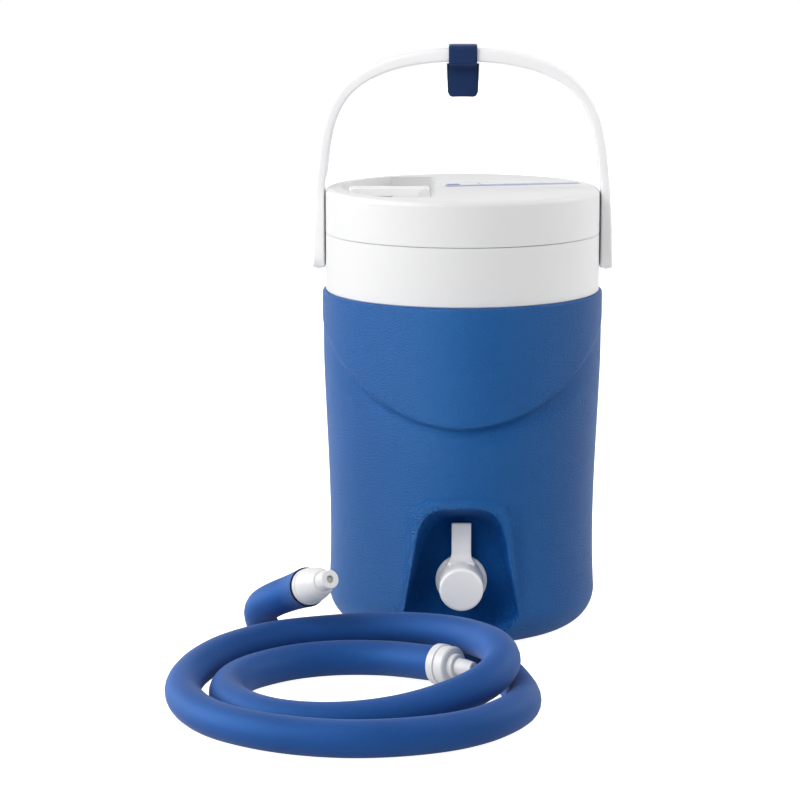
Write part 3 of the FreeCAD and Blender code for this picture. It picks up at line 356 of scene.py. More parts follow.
def seal(target, unwanted=lambda place: False):
    """Joins points that coincide, drops the faces whose middle is unwanted, and turns the rest outward."""
    mesh = bmesh.new()
    mesh.from_mesh(target.data)
    bmesh.ops.remove_doubles(mesh, verts=mesh.verts, dist=1e-6)
    dropped = [face for face in mesh.faces if unwanted(face.calc_center_median())]
    bmesh.ops.delete(mesh, geom=dropped, context="FACES")
    bmesh.ops.recalc_face_normals(mesh, faces=mesh.faces)
    mesh.to_mesh(target.data)
    mesh.free()
    return target


def soft_box(count, power):
    """Across and out, from -1 to 1, round a box with rounded corners: cosine and sine raised to a power."""
    turn = np.linspace(0.0, 2 * math.pi, count + 1)[:-1]
    across, out = np.cos(turn), np.sin(turn)
    return np.sign(across) * np.abs(across) ** power, np.sign(out) * np.abs(out) ** power


def through(points, count):
    """Natural cubic curve through points, its parameter the length of the chords, at even steps."""
    points = np.asarray(points, float)
    gap = np.linalg.norm(np.diff(points, axis=0), axis=1)
    knots = np.concatenate([[0.0], np.cumsum(gap)])
    inner = np.arange(1, len(points) - 1)
    system = np.eye(len(points))
    system[inner, inner - 1] = gap[:-1]
    system[inner, inner] = 2 * (gap[:-1] + gap[1:])
    system[inner, inner + 1] = gap[1:]
    turns = np.zeros_like(points)
    turns[1:-1] = 6 * np.diff(np.diff(points, axis=0) / gap[:, None], axis=0)
    bend = np.linalg.solve(system, turns)
    at = np.linspace(0.0, knots[-1], count)
    cell = np.clip(np.searchsorted(knots, at, side="right") - 1, 0, len(points) - 2)
    span, left, gone = gap[cell][:, None], (knots[cell + 1] - at)[:, None], (at - knots[cell])[:, None]
    cubic = (bend[cell] * left**3 + bend[cell + 1] * gone**3) / (6 * span)
    before = (points[cell] / span - bend[cell] * span / 6) * left
    after = (points[cell + 1] / span - bend[cell + 1] * span / 6) * gone
    return cubic + before + after


def ease(share):
    """Smooth rise from 0 to 1: 3s^2 - 2s^3, level at both ends."""
    share = np.clip(share, 0.0, 1.0)
    return share * share * (3.0 - 2.0 * share)


def higher(first, second, round_off):
    """The larger of two heights, rounded where they cross: half their sum plus half the root of gap^2 + k^2."""
    return (first + second + np.sqrt((first - second) ** 2 + round_off**2)) / 2


def arch_inside(x, z, halves, height, corner):
    """Distance inside an arch with leaning sides and rounded top corners, negative outside it.

    The smaller of the distances from the side and from the top, and near a corner its radius less the
    distance from its centre.
    """
    top_half, foot_half = halves
    lean = math.atan2(foot_half - top_half, height)
    side = (foot_half - (foot_half - top_half) * z / height - np.abs(x)) * math.cos(lean)
    top = height - z
    cornered = corner - np.hypot(np.maximum(corner - side, 0), np.maximum(corner - top, 0))
    return np.where((side < corner) & (top < corner), cornered, np.minimum(side, top))


# The jug's measures, in millimetres.
WALL_CUBIC = np.polyfit((24.0, 78.0, 157.0, 236.0), (93.9, 92.7, 95.5, 97.1), 3)  # heights and radii
WALL_TOP = 234.4
LIP_FILLET = 1.6
LIP_RADII = (94.0, 92.0, 91.2)
FOOT_FLAT = 69.9
FOOT_FILLET = 24.0
OUTLET_HEIGHT = 44.0
PIVOT_HEIGHT = 262.0
CHEST_RADIUS = 97.4
CHEST_PROUD = 0.9
SWOOSH_HEIGHT = 262.0  # of the circle's centre
SWOOSH_RADIUS = 108.5
GROOVE_DEPTH = 2.3
GROOVE_RAMP = 11.9
# Three arches on the shell's front: half widths at the top and foot, height, corner radius.
HOOD_ARCH = ((34.5, 45.0), 106.5, 19.0)
MOUTH_ARCH = ((29.0, 44.0), 100.5, 15.5)
FLOOR_ARCH = ((20.5, 43.5), 87.0, 14.0)
POCKET_FRONT = 99.0  # distances from the jug's axis
POCKET_FLOOR = 66.0
RAMP_TOP = 26.4
RAMP_RADIUS = 22.0
# Radius and height of the base's rows: a flat raised middle, a step, and the ring that stands on the floor.
BASE_PROFILE = ((0.0, 4.0), (12.0, 4.0), (23.0, 4.0), (34.0, 4.0), (45.0, 4.0), (57.4, 4.0), (58.2, 3.6),
                (59.8, 0.4), (60.6, 0.0), (65.0, 0.0))
# Outer line of the bail from its foot to beside the middle, from the pivot: distance out, and height.
BAIL_LINE = ((104.3, -12.4), (103.7, 14.0), (99.9, 63.0), (94.5, 92.0), (83.5, 112.6), (63.3, 128.0),
             (33.1, 137.6))
BAIL_TOP = (0.0, 140.4)
GRIP_THICKNESS = 9.2
GRIP_HALF_DEPTH = 11.0
BESIDE_LID = 95.3


def wall_radius(z):
    """Plain wall: the cubic through foot, waist, chest and top, and under it a quarter circle."""
    low = np.clip(FOOT_FILLET - z, 0.0, FOOT_FILLET)
    foot = FOOT_FLAT + np.sqrt(FOOT_FILLET**2 - low**2)
    return np.where(z < FOOT_FILLET, foot, np.polyval(WALL_CUBIC, np.maximum(z, FOOT_FILLET)))


def chest_radius(x, z):
    """Wall with its chest, a little proud of it inside the swoosh circle, and a groove along the circle.

    The groove is steep on the chest's side and a long ramp on the other, and it fades towards the sides,
    as if cut straight from the front.
    """
    wall = wall_radius(z)
    outside = np.hypot(x, z - SWOOSH_HEIGHT) - SWOOSH_RADIUS
    proud = np.clip(CHEST_RADIUS - wall, 0.0, CHEST_PROUD) * ease((0.8 - outside) / 2.6)
    faced = np.sqrt(np.clip(1.0 - (x / 98.0) ** 2, 0.0, 1.0))
    ramp = 1.0 - np.clip((outside - 0.2) / GROOVE_RAMP, 0.0, 1.0)
    groove = GROOVE_DEPTH * faced * ease((outside + 1.8) / 3.2) * ramp
    return wall + proud - groove


def front_face(x, z):
    """Y of the shell's front at a place (x, z).

    The wall with the hood added, eased in over the hood's edge, and then the pocket. The pocket is a
    funnel whose depth is the share at which the outline between mouth and floor passes through the place,
    never deeper than the floor. At its foot a quarter-round ramp starts higher towards the sides. The
    deeper of wall and pocket is kept, rounded where they cross.
    """
    radius = chest_radius(x, z)
    inside = arch_inside(x, z, *HOOD_ARCH)
    hood_skin = 94.3 + 1.8 * (z - FOOT_FILLET) / 85.5
    foot_skin = wall_radius(np.minimum(z, FOOT_FILLET)) + 0.4
    proud = np.where(z < FOOT_FILLET, foot_skin, hood_skin) - wall_radius(z)
    radius = radius + np.where(inside > 0, proud, 0.0) * ease((inside + 0.2) / 3.6)
    wall = -np.sqrt(np.maximum(radius**2 - x**2, 1.0))
    mouth = arch_inside(x, z, *MOUTH_ARCH)
    floor = arch_inside(x, z, *FLOOR_ARCH)
    share = np.clip(mouth / np.maximum(mouth - floor, 0.05), 0.0, 1.0)
    funnel = -POCKET_FRONT + (POCKET_FRONT - POCKET_FLOOR) * share
    ramp_drop = np.clip(RAMP_TOP + 20.0 * (x / 40.0) ** 2 - z, 0.0, RAMP_RADIUS)
    deepest = -(POCKET_FLOOR + RAMP_RADIUS) + np.sqrt(RAMP_RADIUS**2 - ramp_drop**2)
    pocket = -higher(-funnel, -deepest, round_off=2.4)
    outside = ease(-mouth / 3.0)
    return higher(wall, pocket - 4.0 * outside, round_off=1.7 * (1 - outside))


def ring(angle, radius, height):
    """Points round the jug's axis, by their angle from the front, a radius and a height."""
    return np.stack([radius * np.sin(angle), -radius * np.cos(angle), np.full_like(angle, height)], axis=-1)


def shell_points():
    """Rows of the shell's outer face, from the base's centre round the foot and up to the lip.

    In front, a column keeps its place beside the pocket's side line, so the pocket's walls fall on grid
    lines; round the back the columns are evenly spaced angles. Base and lip rows repeat the angles of the
    nearest wall row.
    """
    z = np.concatenate([
        FOOT_FILLET * (1 - np.cos(np.linspace(0.0, 0.5 * math.pi, 17))), np.linspace(25.6, 86.0, 38),
        np.linspace(86.8, 112.0, 34), np.linspace(114.0, 139.0, 9), np.linspace(141.0, WALL_TOP, 64),
    ])[:, None]
    side_line = 43.75 - 17.75 * np.minimum(z, 108.0) / 100.0
    band = 7.0
    middle = (side_line - band) * np.linspace(0.0, 1.0, 12)[None, :-1]
    edge = side_line + np.concatenate([np.linspace(-band, 4.5, 25), [6.5, 9.0, 11.5, 14.0]])[None]
    x_front = np.concatenate([middle, edge], axis=1)
    y_front = front_face(x_front, z)
    start = np.arctan2(x_front[:, -1:], -y_front[:, -1:])
    share = np.linspace(0.0, 1.0, 122)[None, 1:-1]
    angle = start + (2 * math.pi - 2 * start) * share
    radius = chest_radius(wall_radius(z) * np.sin(angle), z)
    x_back, y_back = radius * np.sin(angle), -radius * np.cos(angle)
    x = np.concatenate([x_front, x_back, -x_front[:, :0:-1]], axis=1)
    y = np.concatenate([y_front, y_back, y_front[:, :0:-1]], axis=1)
    wall = np.stack([x, y, np.broadcast_to(z, x.shape)], axis=-1)

    foot_angle, top_angle = (np.arctan2(x[row], -y[row]) for row in (0, -1))
    base = [ring(foot_angle, *place) for place in BASE_PROFILE]
    top_radius = np.hypot(x[-1], y[-1])
    turns = np.linspace(0.0, 0.5 * math.pi, 6)[1:]
    lip = [(top_radius - LIP_FILLET + LIP_FILLET * math.cos(turn), WALL_TOP + LIP_FILLET * math.sin(turn))
           for turn in turns] + [(inward, WALL_TOP + LIP_FILLET) for inward in LIP_RADII]
    return np.concatenate([base, wall, [ring(top_angle, *place) for place in lip]]) * MM


def webbing_loop(width, half_depth, low, high, thickness, bend):
    """Band round the grip: a flat strip with round edges, carried along a rounded rectangle.

    Returns points and a map in metres: along the strip's section, and along its path.
    """
    steps = 9
    quarter = np.linspace(0.0, 0.5 * math.pi, steps)
    turns = np.concatenate([quarter + corner * 0.5 * math.pi for corner in range(4)])
    corner_y = np.repeat([1.0, -1.0, -1.0, 1.0], steps) * (half_depth - bend)
    corner_z = np.repeat([1.0, 1.0, -1.0, -1.0], steps)
    middle_z, half_z = (low + high) / 2, (high - low) / 2 - bend
    normal = np.stack([0 * turns, np.cos(turns), np.sin(turns)], axis=-1)
    centre = np.stack([0 * turns, corner_y, middle_z + corner_z * half_z], axis=-1) + normal * bend
    across, out = soft_box(40, 0.35)
    across, out = across * width / 2, (out + 1) * thickness / 2
    points = centre[:, None] + normal[:, None] * out[None, :, None]
    points[..., 0] += across[None]
    path = np.concatenate([[0.0], np.cumsum(np.linalg.norm(np.diff(centre, axis=0), axis=1))])
    map_u = np.broadcast_to(across[None], points.shape[:2])
    map_v = np.broadcast_to(path[:, None], points.shape[:2])
    return points * MM, np.stack([map_u, map_v], axis=-1) * MM


def webbing_flap(top, length, halves, corner, start_y, hang_y, bulge):
    """One hanging layer of the strap: a sheet whose half width shrinks along a quarter circle at its foot.

    It leaves the band at start_y and eases to hang_y, and bulges a little in the middle.
    """
    down = np.linspace(0.0, 1.0, 41)[:, None]
    across = np.linspace(-1.0, 1.0, 31)[None]
    drop = length * down
    from_foot = np.clip(corner - (length - drop), 0.0, corner)
    half = halves[0] + (halves[1] - halves[0]) * down - corner + np.sqrt(corner**2 - from_foot**2)
    settled, swollen = ease(drop / 4.0), ease(drop / 6.0)
    x = half * across
    y = hang_y + (start_y - hang_y) * (1 - settled) - bulge * (1 - across**2) * swollen
    z = top - drop + 0 * across
    points = np.stack([x, y, z], axis=-1)
    return points * MM, np.stack([x, drop + 0 * x], axis=-1) * MM


def bail_points():
    """Rows of the handle's skin, from the left foot over the grip to the right foot.

    The outer line is a natural cubic. The inner line lies a thickness inside it, which grows from arm to
    grip; beside the lid it runs straight down instead. Below the pivot the depth shrinks as an ellipse,
    and in the last millimetres the section closes as a quarter circle.
    """
    foot_out, foot_height = BAIL_LINE[0]
    outer = through([(-x, z) for x, z in BAIL_LINE] + [BAIL_TOP, *BAIL_LINE[::-1]], 260)
    along = np.gradient(outer, axis=0)
    along /= np.linalg.norm(along, axis=1, keepdims=True)
    outward = np.stack([-along[:, 1], along[:, 0]], axis=-1)
    thickness = GRIP_THICKNESS - 2.0 * np.abs(outer[:, :1]) / foot_out
    offset = outer - thickness * outward
    beside = np.stack([np.sign(outer[:, 0]) * BESIDE_LID, outer[:, 1]], axis=-1)
    free = ease((outer[:, 1:] - 47.0) / 9.0)
    inner = free * offset + (1 - free) * beside
    below = np.minimum(outer[:, 1], 0.0) / foot_height
    depth = GRIP_HALF_DEPTH * np.sqrt(np.clip(1 - below**2, 0.0, 1.0))
    closing = np.clip(1 - (outer[:, 1] - foot_height) / 2.4, 0.0, 1.0)
    closed = np.sqrt(1 - closing**2)
    across, out = soft_box(48, 0.36)
    middle, reach = (outer + inner) / 2, (outer - inner) / 2 * closed[:, None]
    flat = middle[:, None] + reach[:, None] * out[None, :, None]
    y = depth[:, None] * across[None]
    return np.stack([flat[..., 0], y, flat[..., 1] + PIVOT_HEIGHT], axis=-1) * MM


def cap_drum_points():
    """Rows of the outlet cap's drum: a slight taper, a rounded front edge and a nearly flat face."""
    edge = 2.4
    turns = np.linspace(0.0, 0.5 * math.pi, 8)
    profile = [(12.6, 71.4), (15.0, 71.0), (15.3, 71.4), (15.35, 73.0), (15.1, 82.0)]
    profile += [(12.5 + edge * math.cos(turn), 94.4 + edge * math.sin(turn)) for turn in turns]
    profile += [(6.0, 97.0), (0.0, 97.05)]
    radius, y = np.array(profile).T[..., None]
    around = np.linspace(0.0, 2 * math.pi, 73)[None, :-1]
    x, z = radius * np.sin(around), OUTLET_HEIGHT + radius * np.cos(around)
    return np.stack([x, -y + 0 * around, z], axis=-1) * MM


def cap_tab_points():
    """Rows of the cap's pull tab, from inside the drum up: it flares into the drum by quarter circles."""
    top, edge, fillet, middle = 85.1, 1.1, 6.0, 72.5
    z = np.concatenate([[54.0], np.linspace(57.0, 65.0, 17), np.linspace(66.0, 84.0, 7),
                        top - edge * np.cos(np.linspace(0.0, 0.5 * math.pi, 7))])
    from_top = np.clip(1 - (top - z) / edge, 0.0, 1.0)
    inset = edge * (1 - np.sqrt(1 - from_top**2))
    above = np.clip(z - 58.8, 0.0, fillet)
    flare = fillet - np.sqrt(fillet**2 - (fillet - above) ** 2)
    half = 6.7 + 0.45 * flare - inset
    front, back = middle + 1.4 + flare - inset, middle - 1.4 + inset
    z = np.concatenate([z, z[-1:]])
    ends = (half, 0.0), (front, middle), (back, middle)
    half, front, back = (np.concatenate([part, [last]]) for part, last in ends)
    across, out = soft_box(44, 0.3)
    x = half[:, None] * across[None]
    y = (front + back)[:, None] / 2 + (front - back)[:, None] / 2 * out[None]
    return np.stack([x, -y, z[:, None] + 0 * x], axis=-1) * MM


# ---- sizes ------------------------------------------------------------------------------------
class HoseSizes(bpy.types.PropertyGroup):
    diameter: bpy.props.FloatProperty(
        name="Diameter", description="Outside diameter of the foam sleeve", default=0.023, min=0.01,
        max=0.05, unit="LENGTH",
    )
    flare: bpy.props.FloatProperty(
        name="Flare", description="How much wider the sleeve is at its raised end", default=1.15, min=1.0,
        max=1.25, subtype="FACTOR",
    )
    squeeze: bpy.props.FloatProperty(
        name="Squeeze", description="Share by which the foam is thinner in the tight bend under its raised end",
        default=0.13, min=0.0, max=0.3, subtype="FACTOR",
    )


class Colours(bpy.types.PropertyGroup):
    shell: bpy.props.FloatVectorProperty(
        name="Shell", description="Blue of the jug's shell", default=(0.0025, 0.08, 0.32), size=3,
        subtype="COLOR", min=0.0, max=1.0,
    )
    hose: bpy.props.FloatVectorProperty(
        name="Hose", description="Blue of the hose's foam sleeve", default=(0.009, 0.056, 0.225), size=3,
        subtype="COLOR", min=0.0, max=1.0,
    )
    strap: bpy.props.FloatVectorProperty(
        name="Strap", description="Blue of the strap on the grip", default=(0.006, 0.027, 0.105), size=3,
        subtype="COLOR", min=0.0, max=1.0,
    )
    # Painted light: a lighter copy of the plastic's white, so the outlet and cap in their shaded pocket and the
    # handle look more brightly lit.
    outlet: bpy.props.FloatVectorProperty(
        name="Bright White", description="White of the outlet, its cap, the vent lever and the handle",
        default=(0.86, 0.86, 0.87), size=3, subtype="COLOR", min=0.0, max=1.0,
    )
    white: bpy.props.FloatVectorProperty(
        name="White", description="White of the lid, collar and couplers",
        default=(0.735, 0.735, 0.735), size=3, subtype="COLOR", min=0.0, max=1.0,
    )


class StageSizes(bpy.types.PropertyGroup):
    key: bpy.props.FloatProperty(
        name="Key Light", description="Power of the large light at the upper left", default=24.0, min=0.0,
        unit="POWER",
    )
    room: bpy.props.FloatProperty(
        name="Room Light", description="Strength of the even light from behind", default=0.85, min=0.0,
    )
    room_front: bpy.props.FloatProperty(
        name="Front Light", description="Strength of the even light from the camera's side", default=0.55,
        min=0.0,
    )
    left_wall: bpy.props.FloatProperty(
        name="Left Wall", description="Strength of the bright left side that glossy skins reflect", default=4.5,
        min=0.0,
    )
    floor_glow: bpy.props.FloatProperty(
        name="Floor Glow", description="Light that the white floor gives off by itself", default=0.95,
        min=0.0,
    )


# ---- operators --------------------------------------------------------------------------------
FLOOR_REACH = 6.0
# Each light: name, place, the place it faces, size, and its power as a share of the key light's.
LIGHTS = (
    ("key_light", (-1.2, -1.35, 1.5), (0.0, 0.0, 0.2), 1.2, 1.0),
    ("side_light", (-1.4, -0.15, 0.55), (0.0, 0.0, 0.2), 0.8, 0.19),
    ("edge_light", (1.3, 0.3, 0.8), (0.05, 0.0, 0.2), 0.7, 0.4),
)
CAMERA_LENS = 117.045
CAMERA_SENSOR = 36.0
CAMERA_PLACE = (0.0, -1.79885, 0.495)
CAMERA_TURN = (math.pi / 2 - 0.186, 0.001, 0.024)


class COOLER_OT_stage(bpy.types.Operator):
    """Makes the pale floor, the soft lights and the camera"""

    bl_idname = "cooler.stage"
    bl_label = "Stage"

    def execute(self, context):
        sizes = context.scene.cooler_stage
        self.floor(sizes)
        context.scene.world = self.studio(sizes)
        for name, place, target, size, share in LIGHTS:
            self.area(name, place, target, size, sizes.key * share)
        data = bpy.data.cameras.new("camera")
        data.lens = CAMERA_LENS
        data.sensor_width = CAMERA_SENSOR
        camera = placed("camera", data)
        camera.location = CAMERA_PLACE
        camera.rotation_mode = "XYZ"
        camera.rotation_euler = CAMERA_TURN
        context.scene.camera = camera
        context.scene.view_settings.view_transform = "Standard"
        return {"FINISHED"}

    @staticmethod
    def floor(sizes):
        """A white square floor that gives off a little light, and more of it straight to the camera."""
        mesh = bpy.data.meshes.new("floor")
        corners = [(x * FLOOR_REACH, y * FLOOR_REACH, 0) for x, y in ((-1, -1), (1, -1), (1, 1), (-1, 1))]
        mesh.from_pydata(corners, [], [(0, 1, 2, 3)])
        floor = placed("floor", mesh)
        white = Finish("floor_white", (0.55, 0.55, 0.55), 0.9, Emission_Strength=sizes.floor_glow)
        seen = white.node("ShaderNodeLightPath").outputs["Is Camera Ray"]
        white.set("Emission Color", white.mix(seen, (0.2, 0.2, 0.2), (1.0, 1.0, 1.0)))
        paint(floor, white.material)

    def studio(self, sizes):
        """A world of even white light, brighter behind than in front.

        Gloss sees its front half dark, with a left side that brightens outward and upward.
        """
        world = bpy.data.worlds.new("studio")
        world.use_nodes = True
        tree = world.node_tree
        towards = tree.nodes.new("ShaderNodeSeparateXYZ")
        tree.links.new(tree.nodes.new("ShaderNodeTexCoord").outputs["Generated"], towards.inputs[0])
        ray = tree.nodes.new("ShaderNodeLightPath").outputs
        mirrored, seen = ray["Is Glossy Ray"], ray["Is Camera Ray"]
        high = self.ranged(tree, towards.outputs["Z"], (-0.05, 0.35), (sizes.left_wall, 3.5 * sizes.left_wall))
        left = self.ranged(tree, towards.outputs["X"], (-0.45, -0.9), (0.12, high))
        front = self.ranged(tree, mirrored, (0.0, 1.0), (sizes.room_front, left))
        start = self.ranged(tree, mirrored, (0.0, 1.0), (-0.5, 0.1))
        depth = self.ranged(tree, towards.outputs["Y"], (start, 0.7), (front, sizes.room))
        strength = self.ranged(tree, seen, (0.0, 1.0), (depth, 1.0))
        background = tree.nodes["Background"]
        tree.links.new(strength, background.inputs["Strength"])
        background.inputs["Color"].default_value = (1, 1, 1, 1)
        return world

    @staticmethod
    def ranged(tree, value, source, target):
        """A value's range mapped to another; any end of either may be a socket."""
        node = tree.nodes.new("ShaderNodeMapRange")
        tree.links.new(value, node.inputs["Value"])
        for name, end in zip(("From Min", "From Max", "To Min", "To Max"), (*source, *target)):
            if isinstance(end, float):
                node.inputs[name].default_value = end
            else:
                tree.links.new(end, node.inputs[name])
        return node.outputs[0]

    @staticmethod
    def area(name, place, target, size, power):
        data = bpy.data.lights.new(name, "AREA")
        data.size = size
        data.energy = power
        light = placed(name, data)
        light.location = place
        light.rotation_euler = (Vector(target) - Vector(place)).to_track_quat("-Z", "Y").to_euler()


class COOLER_OT_hose(bpy.types.Operator):
    """Lays the foam-sleeved hose in its two loops, with a coupler at each end"""

    bl_idname = "cooler.hose"
    bl_label = "Hose"

    def execute(self, context):
        sizes = context.scene.cooler_hose
        data = bpy.data.curves.new("hose_foam_sleeve", "CURVE")
        data.dimensions = "3D"
        line = data.splines.new("NURBS")
        line.points.add(len(HOSE_ROUTE) - 1)
        for point, place in zip(line.points, HOSE_ROUTE):
            point.co = (*place, 1.0)
        line.order_u = 3
        line.use_endpoint_u = True
        line.resolution_u = 12
        line.points[-1].radius = sizes.flare
        line.points[-2].radius = 1.0 + (sizes.flare - 1.0) / 3.0
        for bent, squeeze in ((-7, 0.5), (-6, 1.0), (-5, 0.7)):
            line.points[bent].radius = 1.0 - sizes.squeeze * squeeze
        data.bevel_depth = sizes.diameter / 2
        data.bevel_resolution = 10
        data.use_fill_caps = True
        sleeve = placed("hose_foam_sleeve", data)
        paint(sleeve, finish("hose_foam", hose_foam, context.scene.cooler_colours.hose))
        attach(sleeve, "jug")
        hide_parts("hose_sleeve")
        grey = finish("valve_grey", white_plastic, (0.50, 0.50, 0.47), 0.4)
        for name, end, before, out in (("front_valve", 0, 1, 0.0285), ("rear_valve", -1, -2, 0.0305)):
            self.valve(name, Vector(HOSE_ROUTE[end]), Vector(HOSE_ROUTE[before]), out, grey)
        return {"FINISHED"}

    @staticmethod
    def valve(name, end, before, out, material):
        """A round valve face in a coupler's bore, domed out to its middle by a cosine."""
        rim, dome = 0.0026, 0.0008
        along = (end - before).normalized()
        across = along.cross(Vector((0.0, 0.0, 1.0))).normalized()
        up = across.cross(along)
        radius = np.linspace(rim, 0.0, 9)[:, None, None]
        turn = np.linspace(0.0, 2 * math.pi, 33)[None, :-1, None]
        rise = out - dome / 2 + dome * np.cos(radius / rim * math.pi / 2)
        points = np.array(end) + rise * np.array(along) + radius * (
            np.cos(turn) * np.array(across) + np.sin(turn) * np.array(up))
        disc = seal(grid_mesh(name, points, wrap_u=True))
        thicken(disc, 0.001)
        paint(disc, material)
        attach(disc, "jug")


class COOLER_OT_shell(bpy.types.Operator):
    """Moulds the blue shell with its proud chest, outlet hood, pocket and lip"""

    bl_idname = "cooler.shell"
    bl_label = "Shell"

    def execute(self, context):
        shell = seal(grid_mesh("shell_moulding", shell_points(), wrap_u=True), self.in_hole)
        thicken(shell, 0.0026)
        paint(shell, finish("shell_blue", grained_blue, context.scene.cooler_colours.shell))
        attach(shell, "jug")
        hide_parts("outer_shell")
        return {"FINISHED"}

    @staticmethod
    def in_hole(place):
        """Whether a place lies in the outlet's hole or in the hole under the base, where foam is poured in."""
        outlet_radius, filling_radius, filling_y = 0.0105, 0.0095, 0.034
        outlet = place.y < -0.05 and math.hypot(place.x, place.z - OUTLET_HEIGHT * MM) < outlet_radius
        filling = place.z < 0.006 and math.hypot(place.x, place.y - filling_y) < filling_radius
        return outlet or filling


class COOLER_OT_handle(bpy.types.Operator):
    """Moulds the bail handle with its soft edges"""

    bl_idname = "cooler.handle"
    bl_label = "Handle"

    def execute(self, context):
        bail = seal(grid_mesh("bail_moulding", bail_points(), wrap_u=True))
        # The handle takes the lighter white, which is painted light.
        paint(bail, finish("outlet_white", white_plastic, context.scene.cooler_colours.outlet))
        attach(bail, "handle")
        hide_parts("handle_bail")
        return {"FINISHED"}


class COOLER_OT_cap(bpy.types.Operator):
    """Moulds the outlet cap: a soft-edged drum and the pull tab that flares into it"""

    bl_idname = "cooler.cap"
    bl_label = "Outlet Cap"

    def execute(self, context):
        # The cap takes the lighter white: painted light, against the shade of its pocket.
        white = finish("outlet_white", white_plastic, context.scene.cooler_colours.outlet)
        drum = seal(grid_mesh("cap_drum", cap_drum_points(), wrap_u=True))
        tab = seal(grid_mesh("cap_pull_tab", cap_tab_points(), wrap_u=True))
        for piece in (drum, tab):
            paint(piece, white)
            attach(piece, "cap")
        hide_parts("outlet_cap")
        return {"FINISHED"}


class COOLER_OT_strap(bpy.types.Operator):
    """Wraps the webbing strap round the grip, with its two pressed ends hanging"""

    bl_idname = "cooler.strap"
    bl_label = "Strap"

    def execute(self, context):
        low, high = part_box("strap_band")
        thickness = 1.6
        band_low, band_high = low[2] / MM, high[2] / MM
        points, weave = webbing_loop(
            width=19.4, half_depth=11.6, low=band_low + thickness, high=band_high - thickness,
            thickness=thickness, bend=1.4,
        )
        band = grid_mesh("strap_loop", points, wrap_u=True, wrap_v=True, uv=weave)
        top = band_low + 0.6
        front = self.end("strap_end_front", webbing_flap(top, 22.4, (9.9, 9.8), 2.6, -3.0, -1.0, 0.5))
        rear = self.end("strap_end_rear", webbing_flap(top, 22.0, (11.1, 10.3), 3.2, 3.0, 1.0, -0.3))
        colour = context.scene.cooler_colours.strap
        blue = finish("strap_webbing", webbing, colour)
        dark = finish("strap_webbing_rear", webbing, shade(colour, 0.35))
        for piece, material in ((band, blue), (front, blue), (rear, dark)):
            paint(piece, material)
            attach(piece, "handle")
        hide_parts("strap_band")
        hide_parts("strap_flap")
        return {"FINISHED"}

    @staticmethod
    def end(name, sheet):
        """A hanging end from a sheet's points and map, with its thickness and soft edges."""
        points, weave = sheet
        made = grid_mesh(name, points, uv=weave)
        thicken(made, 0.0015, offset=0.0)
        soft = made.modifiers.new("soft_edge", "BEVEL")
        soft.width = 0.0004
        soft.segments = 2
        return made


LABEL_CORNERS = ((-0.012, -0.003), (0.084, 0.0186), (0.0781, 0.0449), (-0.0179, 0.0233))
LABEL_TURN = math.radians(12.7)
LABEL_THICKNESS = 0.00025
INK_THICKNESS = 0.00012


class COOLER_OT_label(bpy.types.Operator):
    """Sticks the plain label on the lid, with its coloured band, square and line"""

    bl_idname = "cooler.label"
    bl_label = "Lid Label"

    def execute(self, context):
        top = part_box("lid_top_shell")[1][2]
        plate = self.plate("lid_label", LABEL_CORNERS, top, LABEL_THICKNESS)
        foot = top + LABEL_THICKNESS
        band = self.strip("lid_label_band", (0.001, 0.0965), (0.0004, 0.0085), foot)
        square = self.strip("lid_label_square", (0.004, 0.013), (0.0105, 0.0165), foot)
        line = self.strip("lid_label_line", (0.0275, 0.0281), (0.009, 0.0255), foot)
        blank = finish("label_white", white_plastic, (0.72, 0.725, 0.745), 0.28)
        pale = finish("label_band_ink", white_plastic, (0.30, 0.32, 0.56), 0.35)
        ink = finish("label_ink", white_plastic, (0.16, 0.19, 0.45), 0.35)
        for piece, material in ((plate, blank), (band, pale), (square, ink), (line, pale)):
            paint(piece, material)
            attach(piece, "lid")
        return {"FINISHED"}

    def strip(self, name, along, across, foot):
        """A thin plate given by its reach along and across the label's front edge, from its left corner."""
        (x, y), cosine, sine = LABEL_CORNERS[0], math.cos(LABEL_TURN), math.sin(LABEL_TURN)
        reaches = [(along[a], across[b]) for a, b in ((0, 0), (1, 0), (1, 1), (0, 1))]
        corners = [(x + a * cosine - b * sine, y + a * sine + b * cosine) for a, b in reaches]
        return self.plate(name, corners, foot, INK_THICKNESS)

    @staticmethod
    def plate(name, corners, foot, thickness):
        """A flat plate of a thickness on four corners, given anticlockwise from above."""
        mesh = bpy.data.meshes.new(name)
        places = [(x, y, z) for z in (foot, foot + thickness) for x, y in corners]
        sides = [(i, (i + 1) % 4, 4 + (i + 1) % 4, 4 + i) for i in range(4)]
        mesh.from_pydata(places, [], [(3, 2, 1, 0), (4, 5, 6, 7), *sides])
        return placed(name, mesh)


REPLACED = ("outer_shell", "strap_band", "strap_flap", "hose_sleeve", "handle_bail", "outlet_cap")


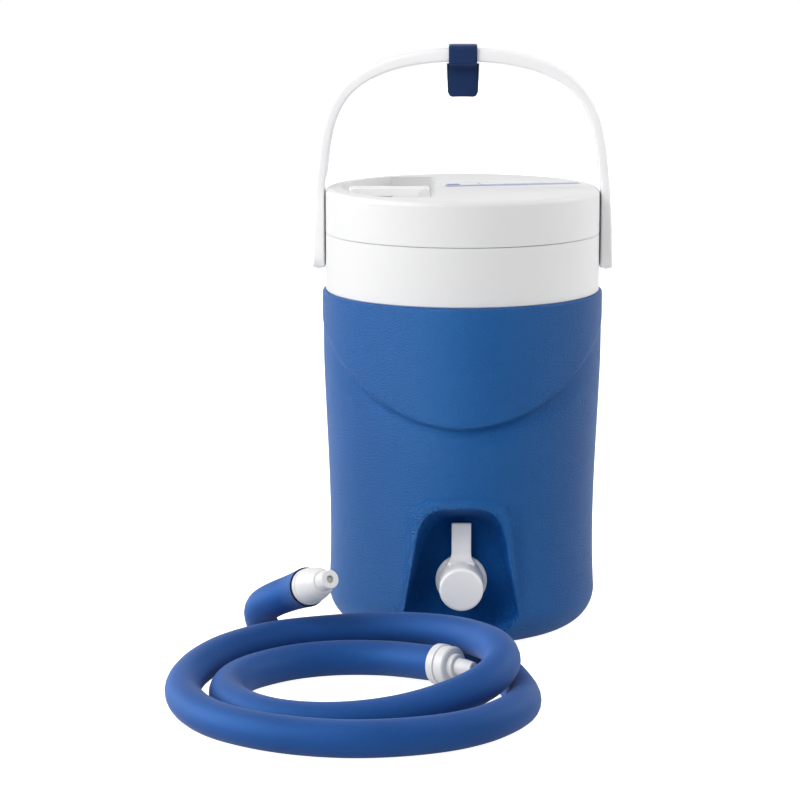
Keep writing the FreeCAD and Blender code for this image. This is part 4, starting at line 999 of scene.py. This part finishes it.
class COOLER_OT_plain_nodes(bpy.types.Operator):
    """Gives the carried-over pieces their materials"""

    bl_idname = "cooler.plain_nodes"
    bl_label = "Carried-over Pieces"

    def execute(self, context):
        colours = context.scene.cooler_colours
        white = finish("white_plastic", white_plastic, colours.white)
        blue = finish("shell_blue", grained_blue, colours.shell)
        rubber = finish("black_rubber", black_rubber, (0.02, 0.02, 0.022))
        foam = finish("rigid_foam", rigid_foam, (0.75, 0.68, 0.45))
        # The lighter white is painted light; the outlet fitting, its nut and the vent lever take it.
        outlet = finish("outlet_white", white_plastic, colours.outlet)
        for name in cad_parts:
            if name == "fill_plug":
                paint(name, blue)
            elif name in ("outlet_fitting", "outlet_nut", "vent_lever"):
                paint(name, outlet)
            elif name in ("foam_insulation", "lid_foam"):
                paint(name, foam)
            elif name in ("outlet_gasket", "outlet_washer", "cap_seal", "lid_gasket"):
                paint(name, rubber)
            elif name not in REPLACED:
                paint(name, white)
        return {"FINISHED"}


class COOLER_PT_panel(bpy.types.Panel):
    """Lists the cooler's pieces and their sizes"""

    bl_idname = "COOLER_PT_panel"
    bl_label = "Cold Therapy Cooler"
    bl_space_type = "VIEW_3D"
    bl_region_type = "UI"
    bl_category = "Cooler"

    def draw(self, context):
        layout = self.layout
        for group in (context.scene.cooler_hose, context.scene.cooler_colours, context.scene.cooler_stage):
            for name in group.__annotations__:
                layout.prop(group, name)
        for operator in OPERATORS:
            layout.operator(operator.bl_idname)


GROUPS = {"cooler_hose": HoseSizes, "cooler_colours": Colours, "cooler_stage": StageSizes}
OPERATORS = [
    COOLER_OT_stage, COOLER_OT_hose, COOLER_OT_shell, COOLER_OT_handle, COOLER_OT_cap, COOLER_OT_strap,
    COOLER_OT_label, COOLER_OT_plain_nodes,
]


def register():
    for group in GROUPS.values():
        bpy.utils.register_class(group)
    for name, group in GROUPS.items():
        setattr(bpy.types.Scene, name, bpy.props.PointerProperty(type=group))
    for operator in OPERATORS:
        bpy.utils.register_class(operator)
    bpy.utils.register_class(COOLER_PT_panel)


def unregister():
    bpy.utils.unregister_class(COOLER_PT_panel)
    for operator in reversed(OPERATORS):
        bpy.utils.unregister_class(operator)
    for name in GROUPS:
        delattr(bpy.types.Scene, name)
    for group in reversed(list(GROUPS.values())):
        bpy.utils.unregister_class(group)


def main():
    register()
    for operator in OPERATORS:
        group, action = operator.bl_idname.split(".")
        getattr(getattr(bpy.ops, group), action)()


if __name__ == "__main__":
    main()
